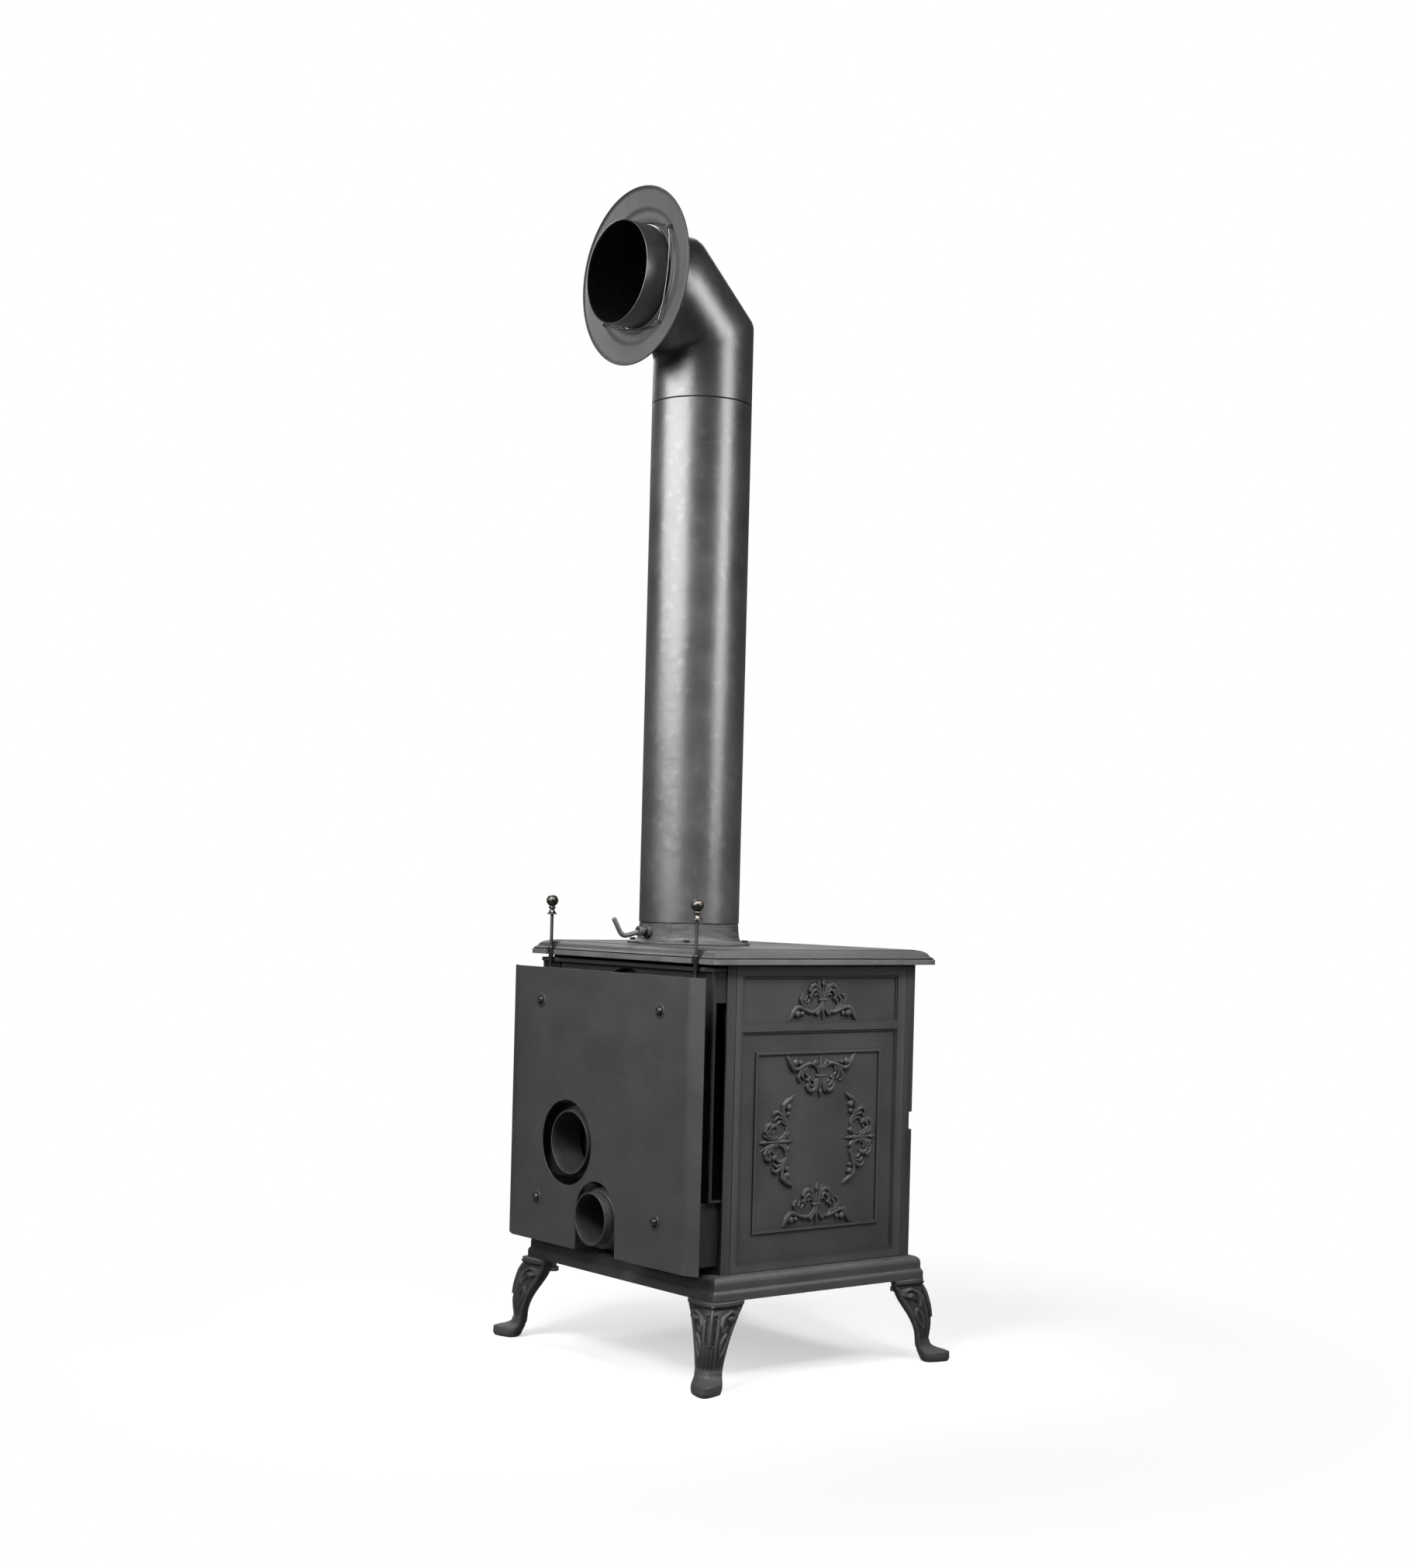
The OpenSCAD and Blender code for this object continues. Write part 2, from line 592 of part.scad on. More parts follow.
module flue_elbow() color(sheet) translate([0, flue_y, 0])
    difference() {
        union() {
            elbow_solid(pipe_r, pipe_top, elbow_rise + elbow_out);
            translate([0, 0, pipe_top - 40]) cylinder(h = 41, r = swage_r);
        }
        elbow_solid(pipe_r - pipe_t, pipe_top + 4, elbow_rise + elbow_out + 1);
        translate([0, 0, pipe_top - 41]) cylinder(h = 60, r = swage_r - pipe_t);
        // sized mouth for the next length of pipe
        ycyl(0, axis_z, elbow_rise + elbow_out - mouth_l, elbow_rise + elbow_out + 1, pipe_r - pipe_t + mouth_step);
    }
mouth_l = 40;
mouth_step = 0.6;

module wall_rosette() color(sheet) {
    translate([0, rosette_y, axis_z]) rotate([-90, 0, 0]) rotate_extrude($fn = 96)
        polygon([[rosette_r, 0], [rosette_r - 1.2, 0], [rosette_r - 2.4, -4.5], [step_r, -7],
            [step_r - 3, -11], [pipe_r + 11, -12], [pipe_r + 10, -8.5], [pipe_r + 9, -8.5],
            [pipe_r + 9, -13.2], [step_r - 2.4, -12.2], [step_r + 0.6, -8.2], [rosette_r - 1.6, -5.6],
            [rosette_r, -3]]);
    // lugs that hold the spring
    for (a = lug_a) translate([0, rosette_y, axis_z]) rotate([0, a, 0])
        difference() {
            block([lug_r - 3.5, -12, -0.8], [lug_r + 3.5, 0, 0.8]);
            translate([lug_r, -4, -2]) cylinder(h = 4, r = lug_hole_r);
        }
}
// the step pressed into the rosette, and the lugs on it
step_r = pipe_r + 24;
lug_r = pipe_r + 20;
lug_a = [36, 126, 216, 306];
lug_hole_r = 2.3;

module rosette_spring() color(steel) {
    wire_r = 1.2;
    touch = (pipe_r + wire_r + 1.2)/sqrt(2);
    for (a = lug_a) translate([0, rosette_y - 4, axis_z]) rotate([0, a, 0]) for (s = [-1, 1])
        bar([lug_r, 0, 0], [touch, 0, s*touch], wire_r);
}

module blanking_plate() color(iron)
    difference() {
        union() {
            ycyl(0, blank_z, rear_y, rear_y + 5, blank_r);
            ycyl(0, blank_z, rear_y - 9, rear_y + 1, blank_r - 12 - fit);
        }
        for (a = [45:90:315]) ycyl(blank_bolt_r*cos(a), blank_z + blank_bolt_r*sin(a),
            rear_y - 1, rear_y + 6, m6 + fit);
    }

module blanking_bolts() color(steel)
    for (a = [45:90:315]) {
        x = blank_bolt_r*cos(a);
        z = blank_z + blank_bolt_r*sin(a);
        ycyl(x, z, rear_y - 8, rear_y + 5.5, m6);
        translate([x, rear_y + 5, z]) rotate([-90, 0, 0]) cylinder(h = 4, r = 5, $fn = 6);
    }

// ---- inside ----

module grate_shelf() color(iron)
    difference() {
        block([-in_x + fit, in_front + 1, shelf_z], [in_x - fit, in_rear - 1, shelf_z + shelf_t]);
        block([-well_w/2, -well_l/2, shelf_z - 1], [well_w/2, well_l/2, shelf_z + shelf_t + 1]);
        for (sx = [-1, 1], y = tie_y)
            translate([sx*tie_x, y, shelf_z - 1]) cylinder(h = shelf_t + 2, r = 3 + 2*fit);
    }

module grate() color(iron) {
    z = shelf_z + shelf_t;
    w = well_w - 2*fit;
    l = well_l - 2*fit;
    translate([0, 0, z - shelf_t]) linear_extrude(shelf_t) frame2d([-w/2, -l/2], [w/2, l/2], 12);
    translate([0, 0, z]) linear_extrude(5) frame2d([-w/2 - 8, -l/2 - 8], [w/2 + 8, l/2 + 8], 20);
    pitch = (w - 24)/bars;
    for (i = [1:bars - 1])
        translate([-w/2 + 12 + i*pitch, 0, z - 5]) rotate([90, 0, 0])
            linear_extrude(l - 20, center = true)
                polygon([[-4, 9], [4, 9], [2.5, 0], [-2.5, 0]]);
}

module side_brick() block([-in_x + fit, tie_y[0] + 6, brick_z], [-in_x + fit + brick_t, tie_y[1] - 6, brick_z + brick_h]);
module left_fire_brick() color("tan") side_brick();
module right_fire_brick() color("tan") mirror([1, 0, 0]) side_brick();
module rear_fire_brick() color("tan")
    block([-in_x + brick_t + 1, in_rear - 13 - brick_t, brick_z], [in_x - brick_t - 1, in_rear - 13, brick_z + brick_h]);

module baffle_plate() color(iron)
    difference() {
        block([-in_x + 10, in_front + 70, brick_z + brick_h], [in_x - 10, in_rear - 13, brick_z + brick_h + baffle_t]);
        for (sx = [-1, 1]) translate([sx*tie_x, tie_y[1], brick_z + brick_h - 1]) cylinder(h = 8, r = 8);
    }

module log_guard() color(iron) {
    y = in_front + 22;
    block([-open_w/2 + 4, y, brick_z], [open_w/2 - 4, y + 6, brick_z + 44]);
    block([-open_w/2 + 4, y - 8, brick_z + 40], [open_w/2 - 4, y + 2, brick_z + 44]);
    for (sx = [-1, 1]) block([sx*(open_w/2 - 20) - 6, y, brick_z], [sx*(open_w/2 - 20) + 6, y + 22, brick_z + 5]);
}

// ---- heat shield and air controls behind the stove ----

module heat_shield() color(sheet) {
    hw = shield_w/2;
    translate([0, shield_y, 0]) rotate([90, 0, 0]) linear_extrude(shield_t)
        difference() {
            translate([-hw, shield_z]) square([shield_w, shield_h]);
            translate([upper_x, upper_z]) circle(r = upper_r + 15.5);
            translate([lower_x, lower_z + 4.5]) circle(r = lower_r + 10.5);
            translate([lower_x - lower_r - 10.5, shield_z - 1]) square([2*lower_r + 21, lower_z + 5.5 - shield_z]);
            for (x = [-screw_x, screw_x], z = screw_z) translate([x, z]) circle(r = m6 + fit);
        }
    for (sx = [0, 1]) mirror([sx, 0, 0])
        translate([hw - eps, shield_y - shield_t, shield_z]) rotate([0, 0, -strip_a])
            difference() {
                cube([strip_w, shield_t, shield_h]);
                // rounded lower corner
                translate([strip_w - strip_corner, -1, strip_corner]) rotate([-90, 0, 0]) difference() {
                    cube([strip_corner + 1, strip_corner + 1, shield_t + 2]);
                    translate([0, 0, -1]) cylinder(h = shield_t + 4, r = strip_corner);
                }
            }
}
strip_corner = 3;

// the lower left screw stands on the lower air chest, the others on the rear panel
function on_chest(x, z) = x < 0 && z == screw_z[0];

module shield_spacers() color(steel)
    for (x = [-screw_x, screw_x], z = screw_z) {
        y0 = on_chest(x, z) ? chest_y : rear_y;
        difference() {
            ycyl(x, z, y0, shield_y - shield_t, 7);
            ycyl(x, z, y0 - 1, shield_y, m6 + fit);
        }
    }

module shield_screws() color(nickel)
    for (x = [-screw_x, screw_x], z = screw_z)
        pan_screw(x, z, shield_y + 2,
            on_chest(x, z) ? shield_gap - chest_d + 12 : shield_gap + 7, m6, 5.5, 4);

module shield_washers() color(nickel)
    for (x = [-screw_x, screw_x], z = screw_z)
        difference() {
            ycyl(x, z, shield_y, shield_y + 2, 10);
            ycyl(x, z, shield_y - 1, shield_y + 3, m6 + fit);
        }

// cast chest bolted to the rear panel: four walls and a rear wall with a round socket
module chest(b, sx, sz, sr, rx) {
    difference() {
        union() {
            block([b[0], rear_y, b[1]], [b[0] + b[2], chest_y, b[1] + b[3]]);
            translate([rx, rod_y, b[1] + b[3]]) cylinder(h = 6, r = 6);
        }
        block([b[0] + chest_t, rear_y - 1, b[1] + chest_t],
            [b[0] + b[2] - chest_t, chest_y - chest_t, b[1] + b[3] - chest_t]);
        ycyl(sx, sz, chest_y - chest_t - 1, chest_y + 1, sr - spigot_t);
        translate([rx, rod_y, b[1] + b[3] - chest_t - 1]) cylinder(h = chest_t + 9, r = rod_r + run);
    }
}

module upper_air_chest() color(iron) chest(upper_box, upper_x, upper_z, upper_r, rod_x);
module lower_air_chest() color(iron)
    difference() {
        union() {
            chest(lower_box, lower_x, lower_z, lower_r, -rod_x);
            ycyl(-screw_x, screw_z[0], chest_y - 14, chest_y - 1, 9);
        }
        ycyl(-screw_x, screw_z[0], chest_y - 12, chest_y + 1, m6 + fit);
    }

module spigot(x, z, mouth, r) translate([x, chest_y, z]) rotate([-90, 0, 0])
    rotate_extrude() translate([r - spigot_t, 0]) square([spigot_t, mouth - chest_y]);

module upper_air_spigot() color(iron) {
    spigot(upper_x, upper_z, upper_mouth, upper_r);
    translate([upper_x, chest_y, upper_z]) rotate([-90, 0, 0]) rotate_extrude()
        polygon([[upper_r - spigot_t, 0], [upper_r + 6, 0], [upper_r + 5, 4], [upper_r - spigot_t, 4]]);
}
module lower_air_spigot() color(iron) {
    spigot(lower_x, lower_z, lower_mouth, lower_r);
    translate([lower_x, chest_y, lower_z]) rotate([-90, 0, 0]) rotate_extrude()
        polygon([[lower_r - spigot_t, 0], [lower_r + 6, 0], [lower_r + 6, 11], [lower_r + 4.5, 13],
            [lower_r - spigot_t, 13]]);
}

// pull rod with its knob, coupling sleeve and gate; all four move together
module pull_rod(x, port_z) color(sheet)
    translate([x, rod_y, port_z - gate_h/2]) cylinder(h = knob_z - port_z + gate_h/2 + 4, r = rod_r);

module rod_knob(x) color(nickel) translate([x, rod_y, knob_z]) rotate_extrude()
    difference() {
        union() {
            translate([0, knob_h - 9]) circle(r = 9);
            polygon([[0, 0], [6.5, 0], [6.5, 1.5], [4, 4.5], [3.2, 9], [5, 10], [5, 12], [3, 13], [0, 15]]);
        }
        translate([-20, -1]) square([20, 60]);
        translate([0, -1]) square([rod_r, 5.2]);
    }

module rod_sleeve(x) color(sheet) translate([x, rod_y, sleeve_z])
    rotate_extrude() polygon([[rod_r, 0], [sleeve_r - 0.6, 0], [sleeve_r, sleeve_l - 2],
        [sleeve_r - 0.8, sleeve_l], [rod_r, sleeve_l]]);

module air_gate(x, port_z) color(sheet) {
    z0 = port_z - gate_h/2;
    block([x - gate_w/2, rear_y + fit, z0], [x + gate_w/2, rear_y + fit + 3, z0 + gate_h]);
    difference() {
        union() {
            block([x - 12, rear_y + fit + 2, z0], [x + 12, rod_y, z0 + 3]);
            translate([x, rod_y, z0]) cylinder(h = 12, r = 8);
        }
        translate([x, rod_y, z0 - 1]) cylinder(h = 14, r = rod_r);
    }
}

module left_pull_rod() pull_rod(-rod_x, lower_port_z);
module right_pull_rod() pull_rod(rod_x, upper_port_z);
module left_rod_knob() rod_knob(-rod_x);
module right_rod_knob() rod_knob(rod_x);
module left_rod_sleeve() rod_sleeve(-rod_x);
module right_rod_sleeve() rod_sleeve(rod_x);
module left_air_gate() air_gate(-rod_x, lower_port_z);
module right_air_gate() air_gate(rod_x, upper_port_z);

// ---- door, latch and ash drawer ----

module door_frame() color(iron)
    difference() {
        union() {
            block([door_x, door_front + 3, door_z], [-door_x, door_back, door_z + door_h]);
            block([door_x + 4, door_front, door_z + 4], [-door_x - 4, door_front + 4, door_z + door_h - 4]);
            for (z = hinge_z) {
                translate([hinge_x, hinge_y, z]) cylinder(h = knuckle_h, r = knuckle_r);
                block([hinge_x, hinge_y - 5, z], [door_x + 6, hinge_y + 5, z + knuckle_h]);
            }
            // boss for the latch spindle
            ycyl(latch_x, latch_z, door_front - 4, door_front + 1, 11);
        }
        // window, with its rebate for the glass behind
        block([door_x + door_border, door_front - 1, door_z + door_border],
            [-door_x - door_border, door_back + 1, door_z + door_h - door_border]);
        block([-glass_w/2 - fit, door_back - glass_t - 3, glass_z - fit],
            [glass_w/2 + fit, door_back + 1, glass_z + glass_h + fit]);
        block([door_x + door_border - 5, door_front - 1, door_z + door_border - 5],
            [-door_x - door_border + 5, door_front + 2.5, door_z + door_h - door_border + 5]);
        // groove for the rope seal
        translate([0, door_back + 1, 0]) rotate([90, 0, 0]) linear_extrude(6)
            frame2d([door_x + 7, door_z + 7], [-door_x - 7, door_z + door_h - 7], 9);
        for (z = hinge_z) translate([hinge_x, hinge_y, z - 1]) cylinder(h = knuckle_h + 2, r = hinge_r + run);
        ycyl(latch_x, latch_z, door_front - 6, door_back + 1, latch_r + run);
        // seats and screw holes of the glass clips
        for (c = clips) {
            block([c[0] - 9 - fit, door_back - 3 - fit, c[1] - 9 - fit], [c[0] + 9 + fit, door_back + 1, c[1] + 9 + fit]);
            ycyl(c[0], c[1] - 5.5*c[2], door_back - 9, door_back, 1.5 + fit);
        }
    }
// clips that hold the glass: x, z and the side of the glass edge that the glass lies on
clips = [for (z = [glass_z, glass_z + glass_h], sx = [-1, 1]) [sx*(glass_w/2 - 40), z, z > latch_z ? -1 : 1]];

module door_glass() color([0.1, 0.1, 0.1, 0.5])
    block([-glass_w/2, door_back - glass_t - 3, glass_z], [glass_w/2, door_back - 3, glass_z + glass_h]);

module door_seal() color("gainsboro")
    translate([0, front_y - fit, 0]) rotate([90, 0, 0]) linear_extrude(6)
        frame2d([door_x + 7, door_z + 7], [-door_x - 7, door_z + door_h - 7], 9);

module glass_clips() color(steel)
    for (c = clips) {
        block([c[0] - 9, door_back - 3, c[1] - 9], [c[0] + 9, door_back - 1.2, c[1] + 9]);
        ycyl(c[0], c[1] - 5.5*c[2], door_back - 1.3, door_back + 0.6, 3);
        ycyl(c[0], c[1] - 5.5*c[2], door_back - 8, door_back - 1.3, 1.5);
    }

module latch_spindle() color(steel)
    ycyl(latch_x, latch_z, door_front - latch_out, in_front + 8, latch_r);

// lever that hangs down beside the window, with a turned grip
module latch_handle() color(nickel) translate([latch_x, door_front - latch_out, latch_z]) {
    difference() {
        union() {
            ycyl(0, 0, -4, 14, 9);
            block([-5, -3, -34], [5, 7, 0]);
        }
        ycyl(0, 0, 0, 20, latch_r);
    }
    translate([0, 2, -104]) rotate_extrude()
        polygon([[0, 0], [6, 1.5], [8.5, 8], [9, 30], [7, 55], [5.5, 66], [7, 69], [7, 72], [0, 72]]);
}

module latch_cam() color(iron) {
    y0 = in_front + 1.5;
    difference() {
        union() {
            ycyl(latch_x, latch_z, y0, y0 + 6, 11);
            block([latch_x - 8, y0, latch_z - 32], [latch_x + 8, y0 + 6, latch_z]);
        }
        ycyl(latch_x, latch_z, y0 - 1, y0 + 7, latch_r);
    }
}

module ash_drawer() color(iron) {
    w = drawer_w/2 - 2;
    y0 = front_y - fit;
    difference() {
        block([-w, y0 - 1, drawer_z], [w, y0 + drawer_l, drawer_z + drawer_in_h]);
        block([-w + 2, y0 + 2, drawer_z + 2], [w - 2, y0 + drawer_l - 2, drawer_z + drawer_in_h + 1]);
    }
    difference() {
        union() {
            block([-drawer_w/2 - 8, y0 - 8, drawer_front_z], [drawer_w/2 + 8, y0, drawer_front_z + drawer_h]);
            block([-drawer_w/2, y0 - 10, drawer_front_z + 8],
                [drawer_w/2, y0 - 7, drawer_front_z + drawer_h - 8]);
        }
        ycyl(0, drawer_front_z + drawer_h/2, y0 - 11, y0 - 5.5, knob_stem_r + fit);
    }
}
knob_stem_r = 4;

module drawer_knob() color(nickel) translate([0, front_y - 10 - fit, drawer_front_z + drawer_h/2])
    rotate([90, 0, 0]) rotate_extrude()
        polygon([[0, -4], [knob_stem_r, -4], [knob_stem_r, 0], [8, 0], [8, 2], [4.5, 4], [4.5, 12], [11, 17],
            [12.5, 22], [10, 27], [5, 29], [0, 29.5]]);

base_plate();
leg_front_left();
leg_front_right();
leg_rear_left();
leg_rear_right();
leg_bolts();
left_side_panel();
right_side_panel();
rear_panel();
front_frame();
top_plate();
tie_rods();
flue_collar();
collar_bolts();
damper_bushes();
blanking_plate();
blanking_bolts();
baffle_plate();
left_fire_brick();
right_fire_brick();
rear_fire_brick();
grate_shelf();
grate();
log_guard();
heat_shield();
shield_screws();
shield_washers();
shield_spacers();
upper_air_chest();
lower_air_chest();
upper_air_spigot();
lower_air_spigot();
flue_pipe();
flue_elbow();
wall_rosette();
rosette_spring();
damper_spindle();
damper_disc();
damper_screws();
door_frame();
door_glass();
glass_clips();
door_seal();
hinge_pins();
latch_spindle();
latch_handle();
latch_cam();
ash_drawer();
drawer_knob();
left_pull_rod();
left_rod_knob();
left_rod_sleeve();
left_air_gate();
right_pull_rod();
right_rod_knob();
right_rod_sleeve();
right_air_gate();
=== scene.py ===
import math
import bmesh
import bpy
import numpy as np
from mathutils import Matrix, Vector


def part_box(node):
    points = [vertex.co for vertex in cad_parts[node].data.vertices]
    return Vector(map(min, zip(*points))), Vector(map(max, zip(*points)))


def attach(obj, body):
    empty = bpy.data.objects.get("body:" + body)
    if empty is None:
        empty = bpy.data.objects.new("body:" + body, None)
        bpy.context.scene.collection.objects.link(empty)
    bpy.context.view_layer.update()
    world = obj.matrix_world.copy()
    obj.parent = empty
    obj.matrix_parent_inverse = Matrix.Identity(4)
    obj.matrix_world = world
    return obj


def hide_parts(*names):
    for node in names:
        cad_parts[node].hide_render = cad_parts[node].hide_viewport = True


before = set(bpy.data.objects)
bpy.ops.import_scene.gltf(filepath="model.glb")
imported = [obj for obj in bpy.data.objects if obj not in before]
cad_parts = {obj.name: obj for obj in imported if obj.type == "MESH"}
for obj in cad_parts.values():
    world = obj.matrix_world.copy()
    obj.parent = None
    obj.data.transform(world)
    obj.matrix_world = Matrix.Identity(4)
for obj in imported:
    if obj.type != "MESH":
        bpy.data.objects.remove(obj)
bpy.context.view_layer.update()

# ---- Base casting ----
# A hollow iron tray with a moulded edge that everything else stands on. It is cast in sand in one
# piece and rubbed with stove polish, so its edges are a little soft and its skin is grainy.


class Tone:
    """A value that varies over a surface: one shader node's output. Signs between tones add Math nodes."""

    def __init__(self, tree, socket):
        self.tree, self.socket = tree, socket

    def node(self, kind, settings, inputs, out=0):
        """Adds a node of this kind, with its settings, and fills its sockets with numbers or other tones."""
        made = self.tree.nodes.new(kind)
        for name, value in settings.items():
            setattr(made, name, value)
        for key, value in inputs.items():
            if isinstance(value, Tone):
                self.tree.links.new(value.socket, made.inputs[key])
            else:
                made.inputs[key].default_value = value
        return Tone(self.tree, made.outputs[out])

    def _math(self, operation, a, b):
        return self.node("ShaderNodeMath", {"operation": operation}, {0: a, 1: b})

    def __add__(self, other):
        return self._math("ADD", self, other)

    def __sub__(self, other):
        return self._math("SUBTRACT", self, other)

    def __rsub__(self, other):
        return self._math("SUBTRACT", other, self)

    def __mul__(self, other):
        return self._math("MULTIPLY", self, other)

    def __abs__(self):
        return self.node("ShaderNodeMath", {"operation": "ABSOLUTE"}, {0: self})

    __radd__, __rmul__ = __add__, __mul__

    def larger(self, other):
        """The larger of this tone and another, at each place."""
        return self._math("MAXIMUM", self, other)

    def spread(self, low, high, new_low=0.0, new_high=1.0):
        """The stretch low..high of this tone laid over new_low..new_high, and held at both ends."""
        return self.node("ShaderNodeMapRange", {}, {"Value": self, "From Min": low, "From Max": high,
                                                    "To Min": new_low, "To Max": new_high})

    def blend(self, a, b):
        """Colour a where this tone is 0, and b where it is 1."""
        colour = [c if isinstance(c, Tone) else (*c, 1.0) for c in (a, b)]
        return self.node("ShaderNodeMix", {"data_type": "RGBA"}, {0: self, 6: colour[0], 7: colour[1]}, out=2)


def new_finish(name):
    """A material, the place on the piece as a tone, and its main shader."""
    material = bpy.data.materials.new(name)
    material.use_nodes = True
    tree = material.node_tree
    place = Tone(tree, tree.nodes.new("ShaderNodeTexCoord").outputs["Object"])
    return material, place, tree.nodes["Principled BSDF"]


def fill(shader, **sockets):
    """Sets the shader's sockets by name, with _ for a space, to numbers or tones."""
    for name, value in sockets.items():
        socket = shader.inputs[name.replace("_", " ")]
        if isinstance(value, Tone):
            value.tree.links.new(value.socket, socket)
        else:
            socket.default_value = value


def cloud(place, size, detail=2.0):
    """Soft noise from 0 to 1 whose lumps are about size metres wide."""
    return place.node("ShaderNodeTexNoise", {}, {"Vector": place, "Scale": 1.0/size, "Detail": detail})


def relief(height, depth, under=None):
    """A bump from a height of 0 to 1 that stands for depth metres, on top of another bump if one is given."""
    inputs = {"Strength": 1.0, "Distance": depth, "Height": height}
    if under is not None:
        inputs["Normal"] = under
    return height.node("ShaderNodeBump", {}, inputs)


def painted_shade_and_joint_lines(place, outlines):
    """1 on a thin line along each rectangle (y from, y to, z from, z to, in mm) and 0 away from it. The
    distance to a rectangle's line is the larger of how far the place lies outside it across and up,
    without the sign."""
    y = place.node("ShaderNodeSeparateXYZ", {}, {0: place}, out=1)*1000
    z = place.node("ShaderNodeSeparateXYZ", {}, {0: place}, out=2)*1000
    lines = []
    for y0, y1, z0, z1 in outlines:
        across = abs(y - (y0 + y1)/2) - (y1 - y0)/2
        up = abs(z - (z0 + z1)/2) - (z1 - z0)/2
        lines.append(abs(across.larger(up)).spread(0.5, 1.15, 1.0, 0.0))
    line = lines[0]
    for other in lines[1:]:
        line = line.larger(other)
    return line


def cast_iron(name, dark=0.020, light=0.034, roughness=0.56, grain=1.0, shine=0.45, edge_wear_and_highlight=0.5,
              carved=False, streak=0.0, outlines=()):
    """Sand-cast iron under matte stove polish: sand grain, soft waves of the mould, patches in the polish
    and paler edges, partly rubbed wear and partly a painted highlight. Carved iron gets painted shade in its
    hollows, streak adds pale lines that run level round a turned piece, and outlines are rectangles along
    which dark lines are painted, partly dark joints and partly painted shade."""
    material, place, shader = new_finish(name)
    sand = cloud(place, 0.0013, 3.0)
    pits = cloud(place, 0.0034, 2.0)
    wave = cloud(place, 0.022, 2.0)
    patch = cloud(place, 0.075, 4.0)
    edge = place.node("ShaderNodeNewGeometry", {}, {}, out="Pointiness").spread(0.515, 0.60)
    polish = (patch*0.7 + pits*0.3).spread(0.3, 0.7)
    colour = polish.blend((dark, dark, dark*1.03), (light, light, light*1.02))
    # Edges are painted paler: partly rubbed wear, partly a painted highlight.
    colour = (edge*edge_wear_and_highlight).blend(colour, (0.085, 0.084, 0.083))
    # Painted shade: in carved iron the hollows are made darker, by the stored share of how far each point
    # stands out.
    if carved:
        carving = place.node("ShaderNodeAttribute", {"attribute_name": "carving"}, {}, out="Fac")
        colour = carving.blend((dark*0.3, dark*0.3, dark*0.31), colour)
    if streak:
        level = place.node("ShaderNodeMapping", {}, {"Vector": place, "Scale": (1.0, 1.0, 16.0)})
        colour = (cloud(level, 0.03, 4.0).spread(0.42, 0.68)*streak).blend(colour, (0.16, 0.158, 0.157))
    # Dark lines are painted along the outlines: partly dark joints, partly painted shade.
    if outlines:
        colour = (painted_shade_and_joint_lines(place, outlines)*0.9).blend(colour, (dark*0.15, dark*0.15, dark*0.15))
    normal = relief(wave, 0.0002*grain)
    normal = relief(pits, 0.00060*grain, normal)
    normal = relief(sand, 0.00022*grain, normal)
    fill(shader, Base_Color=colour, Roughness=patch.spread(0.3, 0.7, roughness - 0.06, roughness + 0.06),
         Normal=normal, Specular_IOR_Level=shine)
    return material


def add_piece(name, mesh, body, finish, slot, *nodes):
    """Puts a mesh in the scene as a piece of a body, in place of CAD nodes."""
    piece = bpy.data.objects.new(name, mesh)
    bpy.context.scene.collection.objects.link(piece)
    mesh.materials.clear()
    mesh.materials.append(finish)
    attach(piece, body)
    if nodes:
        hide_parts(*nodes)
    return piece


def round_edges(piece, radius, angle, steps):
    """Rounds a piece's sharp edges over by a radius in metres and keeps its flat faces flat."""
    bevel = piece.modifiers.new("soft_edges", "BEVEL")
    bevel.width, bevel.segments = radius, steps
    bevel.limit_method, bevel.angle_limit = "ANGLE", math.radians(angle)
    bevel.use_clamp_overlap = False
    piece.modifiers.new("flat_faces", "WEIGHTED_NORMAL").keep_sharp = True


def rounded_copy(node, radius, body, finish, slot, angle=32, steps=2, cutters=()):
    """A copy of a CAD node with its flat faces joined, less the cutters, and its sharp edges rounded over
    by a radius in metres."""
    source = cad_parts[node].data
    corners = np.zeros(len(source.vertices)*3)
    source.vertices.foreach_get("co", corners)
    faces = np.zeros(len(source.polygons)*3, int)
    source.polygons.foreach_get("vertices", faces)
    mesh = bpy.data.meshes.new(node + "_shape")
    mesh.from_pydata(corners.reshape(-1, 3), [], faces.reshape(-1, 3).tolist())
    b = bmesh.new()
    b.from_mesh(mesh)
    bmesh.ops.remove_doubles(b, verts=b.verts, dist=2e-6)
    bmesh.ops.dissolve_limit(b, angle_limit=math.radians(0.6), verts=b.verts, edges=b.edges)
    for face in b.faces:
        face.smooth = True
    b.to_mesh(mesh)
    b.free()
    if cutters:
        mesh = cut_away(mesh, cutters)
    piece = add_piece(node + "_casting", mesh, body, finish, slot, node)
    round_edges(piece, radius, angle, steps)
    return piece


base_iron = cast_iron("base_iron", dark=0.024, light=0.043)
rounded_copy("base_plate", 0.0013, "stove", base_iron, "cast_iron", angle=14, steps=3)

# ---- Cabriole legs ----
# Four cast-iron legs that bow out at the knee and end in a toe. Each is bolted up under a corner of
# the base from behind, and has a leaf, two scrolls and flutes cast in its two outer faces.

leg_height = 122  # mm, from the sole to the underside of the base
# share of the height, reach of the ridge, reach of the back, half width, reach of the wings, in mm
leg_sections = np.array([
    [0.00, 43, 3, 19.5, 16], [0.03, 45, 1, 21, 16], [0.085, 45, -2, 22, 14], [0.122, 43.5, -4, 21.5, 11],
    [0.132, 40, -4, 21.2, 9], [0.17, 22, -6, 20, 4], [0.24, 15, -7, 19.5, 2], [0.33, 16, -8, 20.5, 0],
    [0.44, 18, -12, 22.5, -4], [0.55, 18, -19, 25, -9], [0.66, 16, -28, 28, -16], [0.75, 13, -35, 31, -23],
    [0.84, 9, -40, 34, -29], [0.93, 3, -44, 38, -35], [1.00, 2, -44, 39, -37]])
